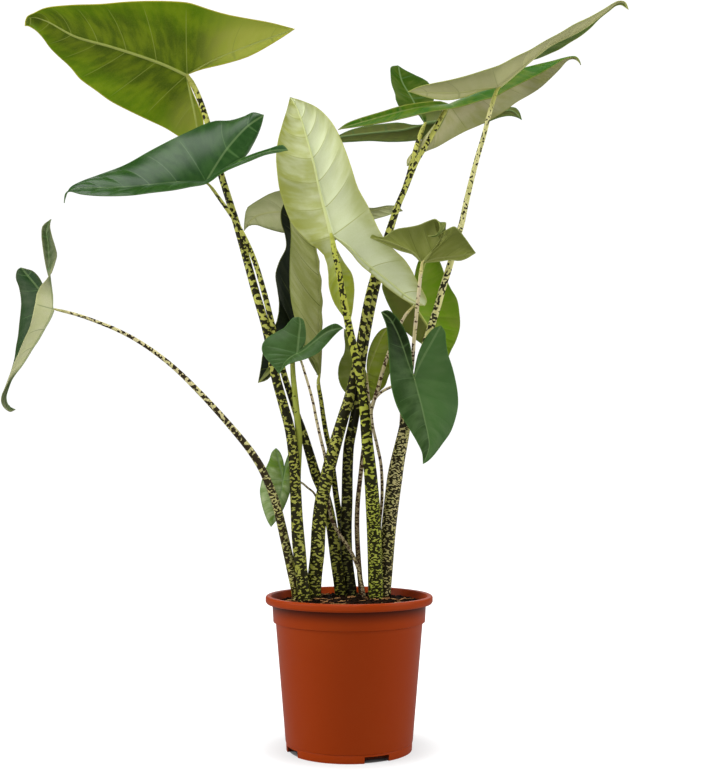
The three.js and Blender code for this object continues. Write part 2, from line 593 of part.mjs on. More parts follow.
function potGeometry() {
  const footInside = FOOT_RADIUS - FOOT_WIDTH;
  const shell = toManifold(turned([
    [0, 0],
    [PAD_RADIUS, 0],
    [PAD_RADIUS + 2, FLOOR_UNDERSIDE],
    [footInside - 1, FLOOR_UNDERSIDE],
    [footInside, 0],
    [FOOT_RADIUS, 0],
    [FOOT_RADIUS + 0.4, BODY_BOTTOM - 1.2],
    [BODY_BOTTOM_RADIUS - 1, BODY_BOTTOM - 0.6],
    [BODY_BOTTOM_RADIUS, BODY_BOTTOM],
    [BODY_TOP_RADIUS, COLLAR_BOTTOM],
    [COLLAR_RADIUS, COLLAR_BOTTOM],
    [COLLAR_TOP_RADIUS, RIM_BOTTOM],
    [RIM_RADIUS - 1.4, RIM_BOTTOM],
    [RIM_RADIUS, RIM_BOTTOM + 2.1],
    [RIM_RADIUS, POT_HEIGHT - 2],
    [RIM_RADIUS - 1.3, POT_HEIGHT - 0.4],
    [MOUTH_RADIUS + 2, POT_HEIGHT],
    [MOUTH_RADIUS, POT_HEIGHT - 1],
    [wallInside(RIM_BOTTOM), RIM_BOTTOM],
    [wallInside(COLLAR_FLOOR), COLLAR_FLOOR + 1],
    [wallInside(COLLAR_BOTTOM), COLLAR_FLOOR],
    [wallInside(BODY_BOTTOM), BODY_BOTTOM],
    [wallInside(FLOOR_TOP), FLOOR_TOP],
    [0, FLOOR_TOP],
  ], POT_SEGMENTS));
  let pot = shell;
  for (let i = 0; i < NOTCH_COUNT; i += 1) {
    const notch = new THREE.BoxGeometry(NOTCH_DEPTH, NOTCH_WIDTH, 2 * NOTCH_HEIGHT);
    notch.translate(FOOT_RADIUS, 0, 0);
    notch.rotateZ(NOTCH_TURN + (i * 2 * Math.PI) / NOTCH_COUNT);
    pot = pot.subtract(toManifold(notch));
  }
  return toGeometry(pot);
}

function cormProfile({ radius }, growth) {
  const bottom = CORM_TOP - CORM_HEIGHT - growth;
  const wide = radius + growth;
  return [
    [0, bottom],
    [0.45 * wide, bottom + 0.04 * CORM_HEIGHT],
    [0.85 * wide, bottom + 0.3 * CORM_HEIGHT],
    [wide, bottom + 0.65 * CORM_HEIGHT],
    [wide, CORM_TOP - 0.08 * CORM_HEIGHT],
    [wide - 1.5, CORM_TOP + growth],
    [0, CORM_TOP + growth],
  ];
}

function cormGeometry(corm, growth = 0) {
  const geometry = turned(cormProfile(corm, growth), CORM_SEGMENTS);
  geometry.translate(corm.x, corm.y, 0);
  return geometry;
}

// Height of the soil's surface: a shallow mound with crumbs
function soilHeight(x, y) {
  const share = Math.hypot(x, y) / wallInside(SOIL_EDGE);
  const crumbs = Math.sin(0.21 * x + 1.3) * Math.cos(0.17 * y) + Math.sin(0.12 * x - 0.26 * y);
  return SOIL_EDGE + SOIL_MOUND * (1 - share * share) + CRUMB_HEIGHT * crumbs * (1 - share ** 8);
}

function soilGeometry(holes) {
  const belowCollar = wallInside(COLLAR_BOTTOM) - 2 * SEAT_GAP;
  const geometry = turned([
    [0, FLOOR_TOP + SEAT_GAP],
    [wallInside(FLOOR_TOP) - SEAT_GAP, FLOOR_TOP + SEAT_GAP],
    [wallInside(BODY_BOTTOM) - SEAT_GAP, BODY_BOTTOM],
    [belowCollar, COLLAR_BOTTOM],
    [belowCollar, COLLAR_FLOOR + 2],
    [wallInside(SOIL_EDGE) - SEAT_GAP, SOIL_EDGE - 2],
    [wallInside(SOIL_EDGE) - SEAT_GAP, SOIL_EDGE],
    ...SOIL_RINGS.toReversed().map((radius) => [radius, SOIL_EDGE + 1]),
    [0, SOIL_EDGE + 1],
  ], POT_SEGMENTS);
  const position = geometry.attributes.position;
  for (let i = 0; i < position.count; i += 1) {
    if (position.getZ(i) > SOIL_EDGE + 0.5) {
      position.setZ(i, soilHeight(position.getX(i), position.getY(i)));
    }
  }
  return toGeometry(largest(holes.reduce((body, hole) => body.subtract(hole), toManifold(geometry))));
}

// Diameter at a share of the petiole's length
function girthAt(leaf, share) {
  const at = Math.min(Math.max(share, 0), 1) * (leaf.girth.length - 1);
  const below = Math.min(Math.floor(at), leaf.girth.length - 2);
  return THREE.MathUtils.lerp(leaf.girth[below], leaf.girth[below + 1], at - below);
}

// A curve's points between two shares of its length, at rows that lie closer towards its start or its end
function crowdedPoints(curve, rows, nearStart, from = 0, to = 1) {
  const points = [];
  for (let i = 0; i <= rows; i += 1) {
    const share = nearStart ? (i / rows) ** CROWDING : 1 - (1 - i / rows) ** CROWDING;
    points.push(curve.getPointAt(THREE.MathUtils.lerp(from, to, share)));
  }
  return points;
}

// A round bar along a curve whose radius is given for a share of its length
function taperedBar(curve, radiusAt, sides, steps) {
  const outline = new THREE.Shape();
  for (let i = 0; i < sides; i += 1) {
    const angle = (2 * Math.PI * i) / sides;
    outline[i === 0 ? 'moveTo' : 'lineTo'](Math.cos(angle), Math.sin(angle));
  }
  outline.closePath();
  const geometry = new THREE.ExtrudeGeometry(outline, { steps, extrudePath: curve, curveSegments: 1 });
  const centres = curve.getSpacedPoints(steps);
  const position = geometry.attributes.position;
  const vertex = new THREE.Vector3();
  for (let i = 0; i < position.count; i += 1) {
    vertex.fromBufferAttribute(position, i);
    const distances = centres.map((centre) => centre.distanceTo(vertex));
    const nearest = distances.indexOf(Math.min(...distances));
    vertex.sub(centres[nearest]).multiplyScalar(radiusAt(nearest / steps)).add(centres[nearest]);
    position.setXYZ(i, vertex.x, vertex.y, vertex.z);
  }
  return geometry;
}

// The petiole's middle line, from its seat on the corm to the blade
function petioleCurve(leaf) {
  const points = placeAll([...leaf.stem, leaf.attach]);
  const foot = points[0].clone().setZ(CORM_TOP + SEAT_GAP);
  const buried = points[0].clone().setZ((CORM_TOP + points[0].z) / 2);
  return new THREE.CatmullRomCurve3([foot, buried, ...points]);
}

// The petiole up to its blade's neck, or the same bar grown all round
function petioleGeometry(leaf, growth = 0) {
  const curve = petioleCurve(leaf);
  const end = 1 - (NECK_LENGTH + NECK_GAP) / curve.getLength();
  const slim = Math.max(...leaf.girth) < SLIM_PETIOLE;
  const body = stretch(curve, 0, end, 3 * PETIOLE_STEPS);
  const radiusAt = (share) => girthAt(leaf, share * end) / 2 + growth;
  return taperedBar(body, radiusAt, slim ? NECK_SIDES : PETIOLE_SIDES, PETIOLE_STEPS);
}

// The hole that a petiole stands in, a little deeper than its foot
function holeGeometry(leaf) {
  const geometry = petioleGeometry(leaf, HOLE_CLEARANCE);
  const position = geometry.attributes.position;
  for (let i = 0; i < position.count; i += 1) {
    if (position.getZ(i) < CORM_TOP + 2 * SEAT_GAP) {
      position.setZ(i, CORM_TOP - SEAT_GAP);
    }
  }
  return geometry;
}

// A grid of points between an inner and an outer line, arched by a share of its width
function ruledGrid(inner, outer, columns, arch) {
  return inner.map((start, row) => {
    const before = inner[Math.max(row - 1, 0)];
    const after = inner[Math.min(row + 1, inner.length - 1)];
    const across = outer[row].clone().sub(start);
    const normal = after.clone().sub(before).cross(across).normalize();
    const line = [];
    for (let column = 0; column <= columns; column += 1) {
      const share = column / columns;
      const rise = 4 * arch * share * (1 - share) * across.length();
      line.push(start.clone().addScaledVector(across, share).addScaledVector(normal, rise));
    }
    return line;
  });
}

function gridTriangles(grid, flipped) {
  const corners = [];
  for (let row = 0; row + 1 < grid.length; row += 1) {
    for (let column = 0; column + 1 < grid[row].length; column += 1) {
      const a = grid[row][column];
      const b = grid[row + 1][column];
      const c = grid[row][column + 1];
      const d = grid[row + 1][column + 1];
      corners.push(...(flipped ? [a, c, b, c, d, b] : [a, b, c, c, b, d]));
    }
  }
  return corners;
}

// One half of a blade: the lamina from spine to margin, and the strip from the basal vein to the sinus
function halfTriangles(leaf, half, isLeft) {
  const basal = curveThrough([half.lobe, ...half.vein.toReversed(), leaf.attach]);
  const midrib = curveThrough([leaf.attach, ...leaf.rib, leaf.tip]);
  const margin = curveThrough([half.lobe, ...half.margin, leaf.tip]);
  const sinus = curveThrough([half.lobe, ...half.sinus.toReversed(), leaf.attach]);
  const shoulder = half.shoulder ?? basal.getLength() / (basal.getLength() + midrib.getLength());
  const basalPoints = crowdedPoints(basal, BASAL_ROWS, true);
  const spinePoints = [
    ...basalPoints,
    ...crowdedPoints(midrib, MIDRIB_ROWS, false).slice(1),
  ];
  const marginPoints = [
    ...crowdedPoints(margin, BASAL_ROWS, true, 0, shoulder),
    ...crowdedPoints(margin, MIDRIB_ROWS, false, shoulder, 1).slice(1),
  ];
  const arch = isLeft ? BLADE_ARCH : -BLADE_ARCH;
  const lamina = ruledGrid(spinePoints, marginPoints, BLADE_COLUMNS, arch);
  const strip = ruledGrid(basalPoints, crowdedPoints(sinus, BASAL_ROWS, true), 1, 0);
  return [...gridTriangles(lamina, !isLeft), ...gridTriangles(strip, isLeft)];
}

// The blade's middle surface as one indexed sheet with normals, its upper side outwards
function bladeSheet(leaf) {
  const corners = [...halfTriangles(leaf, leaf.left, true), ...halfTriangles(leaf, leaf.right, false)];
  const loose = new THREE.BufferGeometry().setFromPoints(corners);
  const sheet = mergeVertices(loose, 1e-3);
  const index = sheet.index.array;
  const kept = [];
  for (let i = 0; i < index.length; i += 3) {
    const [a, b, c] = [index[i], index[i + 1], index[i + 2]];
    if (a !== b && b !== c && c !== a) {
      kept.push(a, b, c);
    }
  }
  sheet.setIndex(kept);
  sheet.computeVertexNormals();
  return sheet;
}

// A sheet given its thickness: both faces, and a wall along the open edges
function thickened(sheet, thickness) {
  const { position, normal } = sheet.attributes;
  const count = position.count;
  const points = new Float32Array(6 * count);
  for (let i = 0; i < count; i += 1) {
    for (const axis of [0, 1, 2]) {
      const middle = position.getComponent(i, axis);
      const offset = (thickness / 2) * normal.getComponent(i, axis);
      points[3 * i + axis] = middle + offset;
      points[3 * (count + i) + axis] = middle - offset;
    }
  }
  const index = sheet.index.array;
  const edges = new Set();
  for (let i = 0; i < index.length; i += 3) {
    for (const k of [0, 1, 2]) {
      edges.add(`${index[i + k]} ${index[i + ((k + 1) % 3)]}`);
    }
  }
  const faces = [];
  for (let i = 0; i < index.length; i += 3) {
    const [a, b, c] = [index[i], index[i + 1], index[i + 2]];
    faces.push(a, b, c, count + a, count + c, count + b);
    for (const [from, to] of [[a, b], [b, c], [c, a]]) {
      if (!edges.has(`${to} ${from}`)) {
        faces.push(from, count + from, to, to, count + from, count + to);
      }
    }
  }
  const geometry = new THREE.BufferGeometry();
  geometry.setAttribute('position', new THREE.BufferAttribute(points, 3));
  geometry.setIndex(faces);
  return geometry;
}

// The unspotted top of the petiole, which runs into the underside of the midrib
function neckGeometry(leaf, sheet) {
  const curve = petioleCurve(leaf);
  const start = 1 - NECK_LENGTH / curve.getLength();
  const radius = girthAt(leaf, 1) / 2;
  const attach = place(leaf.attach);
  const underside = new THREE.Vector3();
  const vertex = new THREE.Vector3();
  const position = sheet.attributes.position;
  let nearest = Infinity;
  for (let i = 0; i < position.count; i += 1) {
    const distance = vertex.fromBufferAttribute(position, i).distanceTo(attach);
    if (distance < nearest) {
      nearest = distance;
      underside.fromBufferAttribute(sheet.attributes.normal, i).negate();
    }
  }
  const midrib = curveThrough([leaf.attach, ...leaf.rib, leaf.tip]);
  const ribEnd = midrib.getPointAt(0.8 * NECK_LENGTH / midrib.getLength());
  const path = new THREE.CatmullRomCurve3([
    curve.getPointAt(start),
    curve.getPointAt(1 - (1 - start) / 2),
    attach.clone().addScaledVector(underside, 0.6 * radius),
    ribEnd.addScaledVector(underside, 0.3 * radius),
  ]);
  return taperedBar(path, (share) => radius * (1 - 0.6 * share), NECK_SIDES, 4);
}

function bladeGeometry(leaf) {
  const sheet = bladeSheet(leaf);
  const blade = toManifold(thickened(sheet, BLADE_THICKNESS));
  return toGeometry(blade.add(toManifold(neckGeometry(leaf, sheet))));
}

const group = new THREE.Group();
group.add(meshOf('pot', potGeometry(), COLOURS.terracotta, 0.5));

const holes = [
  ...LEAVES.map((leaf) => toManifold(holeGeometry(leaf))),
  ...Object.values(CORMS).map((corm) => toManifold(cormGeometry(corm, SEAT_GAP))),
];
group.add(meshOf('soil', soilGeometry(holes), COLOURS.soil, 1));

for (const [side, corm] of Object.entries(CORMS)) {
  group.add(meshOf(`corm_${side}`, toGeometry(toManifold(cormGeometry(corm))), COLOURS.corm, 0.9));
}

for (const leaf of LEAVES) {
  group.add(meshOf(`petiole_${leaf.name}`, petioleGeometry(leaf), COLOURS[leaf.stemColour], 0.5));
  group.add(meshOf(`blade_${leaf.name}`, bladeGeometry(leaf), COLOURS[leaf.colour], 0.45));
}

export default group;
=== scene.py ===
"""Looks of a potted zebrina alocasia: fine foliage, stalks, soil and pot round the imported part."""

import logging
import math
import random
from collections.abc import Callable
from dataclasses import dataclass, field, fields, replace
from enum import Enum

import bmesh
import bpy
from mathutils import Matrix, Vector, noise


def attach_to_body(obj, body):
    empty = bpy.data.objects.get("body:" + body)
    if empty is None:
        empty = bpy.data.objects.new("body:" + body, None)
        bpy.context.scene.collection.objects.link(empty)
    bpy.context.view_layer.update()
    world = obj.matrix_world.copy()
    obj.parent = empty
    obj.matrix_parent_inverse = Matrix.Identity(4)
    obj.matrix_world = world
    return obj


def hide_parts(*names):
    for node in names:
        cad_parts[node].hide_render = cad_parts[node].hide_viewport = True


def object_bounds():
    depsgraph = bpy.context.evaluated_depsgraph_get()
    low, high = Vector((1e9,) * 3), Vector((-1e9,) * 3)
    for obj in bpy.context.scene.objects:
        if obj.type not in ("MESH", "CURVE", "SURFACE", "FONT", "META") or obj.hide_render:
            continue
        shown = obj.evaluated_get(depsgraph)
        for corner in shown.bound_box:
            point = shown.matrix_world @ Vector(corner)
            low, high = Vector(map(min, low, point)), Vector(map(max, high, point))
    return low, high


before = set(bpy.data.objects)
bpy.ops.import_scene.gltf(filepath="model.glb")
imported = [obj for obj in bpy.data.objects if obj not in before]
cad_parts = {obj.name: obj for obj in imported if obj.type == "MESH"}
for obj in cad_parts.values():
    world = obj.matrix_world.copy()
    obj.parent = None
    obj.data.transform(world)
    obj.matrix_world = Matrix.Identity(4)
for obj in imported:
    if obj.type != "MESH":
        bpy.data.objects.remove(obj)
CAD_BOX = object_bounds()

LOG = logging.getLogger("potted_alocasia")
MM = 0.001
WHITE = (1.0, 1.0, 1.0, 1.0)
COAT_ROUGHNESS = 0.25
CORM_TOP = 120.0
SEAT_GAP = 0.3
NECK_LENGTH = 10.0
Drawn = tuple[float, ...]
Linear = tuple[float, float, float, float]
Spot = tuple[float, float, float]
Labels = tuple[str, ...]
Path = Callable[[float], Vector]
Mesh = bmesh.types.BMesh
Vert = bmesh.types.BMVert
Piece = bpy.types.Object
Material = bpy.types.Material
Socket = bpy.types.NodeSocket
Term = float | Socket
Tint = Linear | Socket


def channel(value: int) -> float:
    """A screen value from 0 to 255 in linear light."""
    share = value / 255
    return share / 12.92 if share <= 0.04045 else ((share + 0.055) / 1.055) ** 2.4


def paint(red: int, green: int, blue: int) -> Linear:
    """A colour given as screen values, in linear light."""
    return channel(red), channel(green), channel(blue), 1.0


def blend(low: float, high: float, share: float) -> float:
    """The value at a share of the way from low to high."""
    return low + (high - low) * share


class BladeFinish(Enum):
    """How a blade is lit and grown."""

    DARK = "blade_dark"
    BACKLIT = "blade_backlit"
    PALE = "blade_pale"


class StalkFinish(Enum):
    """How a stalk is marked."""

    ZEBRA = "petiole_zebra"
    ROSY = "petiole_rosy"
    SMOOTH = "petiole_smooth"


@dataclass(frozen=True)
class Half:
    """One half of a blade: its back lobe's end and the lines that run from there."""

    lobe: Drawn
    vein: tuple[Drawn, ...]
    sinus: tuple[Drawn, ...]
    margin: tuple[Drawn, ...]
    shoulder: float | None = None


@dataclass(frozen=True)
class Leaf:
    """One leaf as drawn: column, row and, where it is known, depth in millimetres."""

    name: str
    blade: BladeFinish
    stalk: StalkFinish
    attach: Drawn
    tip: Drawn
    rib: tuple[Drawn, ...]
    left: Half
    right: Half
    stem: tuple[Drawn, ...]
    girth: tuple[float, ...]


HIGH_LEFT = Leaf(
    name="high_left", blade=BladeFinish.BACKLIT, stalk=StalkFinish.ZEBRA, attach=(187, 75, 62),
    tip=(25, 26, -25), rib=((168, 66), (150, 59), (110, 46), (75, 36), (45, 20, -18), (32, 17), (26, 20)),
    left=Half(
        lobe=(295, 29, 55), vein=((210, 62), (240, 49), (270, 38)),
        sinus=((200, 70), (225, 64), (250, 56), (280, 39)),
        margin=(
            (270, 22.5), (245, 18), (225, 14, 25), (205, 8), (190, 3, 10), (165, 1), (130, 1.5), (100, 4),
            (70, 5), (45, 8, -30), (34, 13), (27, 17),
        ),
    ),
    right=Half(
        lobe=(198, 143, 112), vein=((190, 92), (194, 110), (197, 128)),
        sinus=((191, 88), (197, 102), (203, 118), (203, 133)),
        margin=(
            (188, 142), (178, 136, 104), (165, 128), (150, 121), (125, 109, 70), (110, 101), (95, 90),
            (80, 79), (70, 67, 35), (58, 56), (50, 48), (42, 37), (35, 30), (28, 26),
        ),
    ),
    stem=(
        (304, 598, -4), (300, 560, -4), (298, 540, -3), (296, 500, -1), (294, 460, 2), (290, 430, 4),
        (282, 400, 7), (275, 374, 9), (266.5, 330, 12), (255, 290, 15), (244, 250, 24), (236, 222, 31),
        (229, 200, 37), (221, 174, 43), (213, 142, 51), (206, 118, 57), (199, 98, 60), (193, 85, 62),
    ),
    girth=(15, 14, 12, 10, 9, 8, 6.5),
)
DARK_LEFT = Leaf(
    name="dark_left", blade=BladeFinish.DARK, stalk=StalkFinish.ZEBRA, attach=(206, 182, -15),
    tip=(64, 203, -78), rib=((185, 182), (160, 184), (130, 187), (100, 188), (75, 189, -68), (66, 193)),
    left=Half(
        lobe=(288, 150, -55), vein=((225, 169, -26), (245, 160), (268, 152)),
        sinus=((222, 170, -20), (235, 162), (250, 155), (268, 149), (283, 145)),
        margin=(
            (280, 152), (265, 155), (250, 161), (235, 167), (222, 173, -48), (207, 183.5, -46), (190, 187),
            (175, 190), (150, 193, -70), (130, 195.5), (100, 196), (82, 194.5), (68, 192),
        ),
    ),
    right=Half(
        lobe=(264, 115, 15), vein=((216, 165), (230, 145), (248, 126)),
        sinus=((220, 172), (234, 163), (246, 156), (253, 145), (258, 135), (262, 124)),
        margin=(
            (253, 112.5), (245, 116), (230, 120.5), (215, 121), (205, 124, 22), (190, 131), (175, 138),
            (150, 151), (125, 165, -20), (100, 174.5), (80, 182), (70, 188),
        ),
    ),
    stem=(
        (340.5, 594, 32), (336, 560, 31), (330.5, 520, 30), (324.5, 495, 28), (316, 475, 23),
        (310, 455, 20), (304, 435, 17), (297, 415, 16), (290.5, 395, 15), (284, 374, 14), (273.5, 330, 13),
        (263.5, 290, 12), (255, 262, 12), (248, 245, 12), (239, 227, 11), (229, 212, 6), (219, 198, -2),
        (211, 187, -11),
    ),
    girth=(14, 13.5, 12, 7.5, 6.8, 6, 3.5),
)
FAR_LEFT = Leaf(
    name="far_left", blade=BladeFinish.DARK, stalk=StalkFinish.ZEBRA, attach=(53, 309, -50),
    tip=(15.5, 409.6, -62),
    rib=(
        (50, 317), (44, 328), (38, 339), (32, 348), (25.7, 358.6), (20.5, 366.5), (15.4, 373), (11, 380),
        (8, 388), (6, 395), (5.8, 399), (7.5, 404.5), (11, 407.5),
    ),
    left=Half(
        lobe=(51, 219, -56),
        vein=((52, 294), (50.5, 284), (49.5, 276), (49.5, 262), (48.5, 245), (47, 230)),
        sinus=(
            (53, 296), (51, 284, -50), (47.5, 273, -50), (45, 262), (42.5, 246), (41.5, 235), (42.5, 226),
        ),
        margin=(
            (50, 226), (52, 236), (55, 246), (57, 255, -62), (55, 263), (51, 274, -62), (43, 283.5, -68),
            (38, 290), (36, 300), (33, 315, -78), (30, 327), (25, 338), (20, 350), (14, 364, -68),
            (8, 380.5), (4.7, 389), (2.3, 394), (1.2, 400), (1.8, 404), (5, 408.7), (10.3, 411.8),
        ),
    ),
    right=Half(
        lobe=(21, 267.5, -22), vein=((46, 299), (38, 288), (28, 276)),
        sinus=((49, 296), (43, 284.5), (39, 277), (33, 271), (27, 269)),
        margin=(
            (17.5, 270), (16, 278), (19, 287), (21.3, 301), (21, 309, -28), (19.5, 323), (18, 337),
            (16.3, 346), (14.5, 359, -45), (10.5, 373), (7.5, 381), (4.5, 389.5), (2.6, 394.5), (2.2, 400),
            (3, 404), (6, 408), (10.6, 410.8),
        ),
    ),
    stem=(
        (297, 598, 8), (291.5, 570, 6), (286, 545, 2), (281.5, 525, -3), (276.5, 505, -8), (270, 487, -13),
        (262, 469, -17), (252, 453, -21), (240, 437.5, -25), (205, 398, -34), (170, 364, -40),
        (138, 341, -44), (115, 329, -47), (102.7, 324, -48), (92.4, 320, -48), (79, 315.4, -49),
        (65, 311.6, -50),
    ),
    girth=(11.5, 11, 9.5, 7.5, 5.5, 4.2, 3.2),
)
CENTRE = Leaf(
    name="centre", blade=BladeFinish.PALE, stalk=StalkFinish.ZEBRA, attach=(332, 236, -30),
    tip=(290, 97, -5), rib=((326, 213), (320, 190), (315, 167), (309, 145), (303, 124), (296, 106)),
    left=Half(
        lobe=(425, 306, -15), vein=((350, 248), (362, 260), (375, 270.5), (392, 284), (409, 298)),
        sinus=((340, 242.5), (350, 252), (360, 264.5), (372, 274.5), (390, 290), (412, 304)),
        margin=(
            (427, 301), (423, 291), (417, 281), (411, 269, -28), (404, 259), (395, 250.5), (385, 240, -34),
            (378, 228), (368, 206), (358, 188), (351.5, 168, -38), (346, 152), (339, 135), (330, 120),
            (317, 107.5), (303, 101),
        ),
    ),
    right=Half(
        lobe=(349, 325, 3), vein=((338, 265, -17), (341, 290), (346, 310)),
        sinus=((337, 249), (344, 262), (352, 274), (354.5, 288), (353.5, 303), (352, 314)),
        margin=(
            (343.5, 317), (334, 303), (329, 288), (328, 271, -10), (325, 257), (318, 249), (310, 243, -14),
            (299, 232), (291, 222), (284, 205), (279.5, 190), (277, 172, -8), (276, 157), (278, 140),
            (282, 125), (287, 109),
        ),
    ),
    stem=(
        (376, 598, 8), (375, 560, 7), (373.5, 520, 3), (371, 480, -2), (367, 440, -7), (364, 405, -12),
        (361, 385, -15), (357.5, 365, -18), (353, 345, -22), (348, 322, -26), (342, 290, -30),
        (337.5, 265, -32), (334, 249, -31),
    ),
    girth=(17, 17, 16.5, 13, 10, 8, 6),
)
BEHIND_CENTRE = Leaf(
    name="behind_centre", blade=BladeFinish.PALE, stalk=StalkFinish.SMOOTH, attach=(318, 220, 62),
    tip=(403, 211, 72), rib=((335, 217), (355, 213), (375, 210), (392, 207.5)),
    left=Half(
        lobe=(330, 243, 66), vein=((323, 231),), sinus=((320, 236),),
        margin=((345, 235, 64), (360, 226), (374, 219.5), (386, 216), (396, 212.5)),
    ),
    right=Half(
        lobe=(244, 231, 50), vein=((300, 214), (277, 212), (255, 217)),
        sinus=((305, 231), (285, 233), (275, 231), (265, 228), (256, 225), (249, 226)),
        margin=(
            (244.5, 220), (247, 208), (252, 204), (260, 199), (270, 193.5), (282, 190, 48), (300, 189),
            (325, 194), (350, 202), (371, 208), (388, 205.5), (398, 206.5),
        ),
    ),
    stem=(
        (305, 598, 20), (303, 560, 20), (299.5, 520, 18), (297.5, 480, 15), (298.5, 455, 12), (299, 440, 9),
        (297, 415, 5), (294.5, 390, 10), (293, 373, 22), (292.5, 357, 33), (293, 335, 42), (297, 310, 48),
        (303, 275, 53), (310, 248, 57), (315, 232, 60),
    ),
    girth=(9, 8.5, 8, 7.5, 5.5, 5, 4),
)
UNFURLING = Leaf(
    name="unfurling", blade=BladeFinish.PALE, stalk=StalkFinish.ZEBRA, attach=(318.5, 376, 25),
    tip=(284, 203, 24),
    rib=((320, 350), (320, 325, 24), (320, 300), (318, 270), (314, 245), (305, 225), (294, 211)),
    left=Half(
        lobe=(258, 383, 26),
        vein=((317.2, 364.5, 25), (312.8, 355.8, 25), (305, 353.8, 24), (289.5, 356.3, 24), (275.5, 366.5)),
        sinus=(
            (315.8, 366.5, 25), (311.5, 358.3, 25), (304.5, 355.8, 24), (290, 358.5, 24), (277, 369),
            (267, 380),
        ),
        margin=(
            (261, 366), (263, 352), (269, 338, 26), (277, 320, 34), (279, 305), (277.5, 290),
            (275.5, 275, 38), (279, 262), (286, 247), (285, 235), (281, 222, 32), (281, 211),
        ),
        shoulder=0.5,
    ),
    right=Half(
        lobe=(309, 352, 6), vein=((314.5, 364, 17),), sinus=((317, 363, 13),),
        margin=(
            (300, 336, 2), (295, 318), (292, 305), (290, 288, 2), (290, 260), (291, 232, 10), (288, 212),
        ),
    ),
    stem=(
        (344, 594, 56), (343, 550, 52), (340, 520, 46), (336, 495, 38), (333, 470, 32), (330, 450, 28),
        (326.5, 435, 26), (323.5, 418, 25), (321, 400, 25), (318.5, 385, 25),
    ),
    girth=(8, 8, 7.6, 7.2, 6.5, 5.6, 4.6),
)
SMALL_FRONT_LEFT = Leaf(
    name="small_front_left", blade=BladeFinish.DARK, stalk=StalkFinish.ROSY, attach=(297, 354, -23),
    tip=(279, 374, -34), rib=((291, 357), (284, 364)),
    left=Half(
        lobe=(343.5, 328, -14), vein=((303, 351), (315, 341), (329, 331)),
        sinus=((301, 349), (306, 345), (313, 339), (320, 331.5), (328, 326), (336, 323.5)),
        margin=(
            (340, 330.5), (334, 336), (326, 345), (318, 353, -27), (307, 358.5), (295, 362, -33),
            (287, 365), (282, 370),
        ),
    ),
    right=Half(
        lobe=(299, 317, -6), vein=((298, 345), (299, 334), (300, 325)),
        sinus=((301, 349), (305, 343), (306, 334), (305, 325), (303, 319.5)),
        margin=(
            (293, 318), (289, 322), (284, 328), (275, 333, -14), (267, 338), (262.5, 344, -20), (262, 351),
            (265, 357), (270, 363), (275, 368.5),
        ),
    ),
    stem=(
        (364, 598, 12), (361, 580, 15), (357, 565, 19), (350, 550, 21), (340, 535, 20), (332, 520, 18),
        (328.5, 500, 16.5), (327, 480, 16), (325, 457, 13), (321, 440, 8), (316.5, 420, 3), (313, 402, -3),
        (309, 387, -9), (304.5, 372, -15), (301, 361, -19),
    ),
    girth=(4.6, 4.4, 4.2, 4, 3.6, 3.2, 2.6),
)
BACK_RIGHT = Leaf(
    name="back_right", blade=BladeFinish.DARK, stalk=StalkFinish.ZEBRA, attach=(425, 124, 105),
    tip=(522, 120, 112), rib=((445, 121), (470, 118), (495, 113), (512, 111)),
    left=Half(
        lobe=(334, 138, 78), vein=((405, 130), (385, 132), (360, 134.5)),
        sinus=((415, 125), (400, 122.5), (385, 123.5), (365, 126), (350, 130), (341, 134)),
        margin=(
            (340, 142), (350, 142), (370, 141), (390, 142), (412, 141, 101), (440, 136, 109), (470, 128),
            (488, 122), (500, 117.5), (510, 116), (517, 117.5),
        ),
    ),
    right=Half(
        lobe=(398, 65.5, 122), vein=((419, 112), (411, 97), (402, 82)),
        sinus=((428, 112), (434, 98, 125), (429, 83), (415, 75), (405, 70)),
        margin=(
            (391, 67), (390.5, 75), (391.5, 84), (395, 94), (396.5, 103, 108), (401, 108), (412, 110),
            (432, 110, 112), (455, 108), (480, 107), (500, 107.5), (512, 107), (516, 108), (519.5, 112),
        ),
    ),
    stem=(
        (351, 594, 42), (347, 560, 40), (346, 530, 36), (347, 500, 31), (347.5, 470, 26), (349, 445, 23),
        (353, 425, 20), (357.5, 400, 20), (360, 380, 20), (362.5, 360, 22), (367.5, 330, 27),
        (373.5, 300, 31), (379, 277, 35), (383, 262, 38), (388, 240, 43), (393, 222, 47), (398.5, 205, 53),
        (404, 190, 59), (408, 178, 64), (412, 163, 70), (416, 148, 79), (421, 133, 92),
    ),
    girth=(14, 14, 12.5, 9, 8, 6.5, 5.5),
)
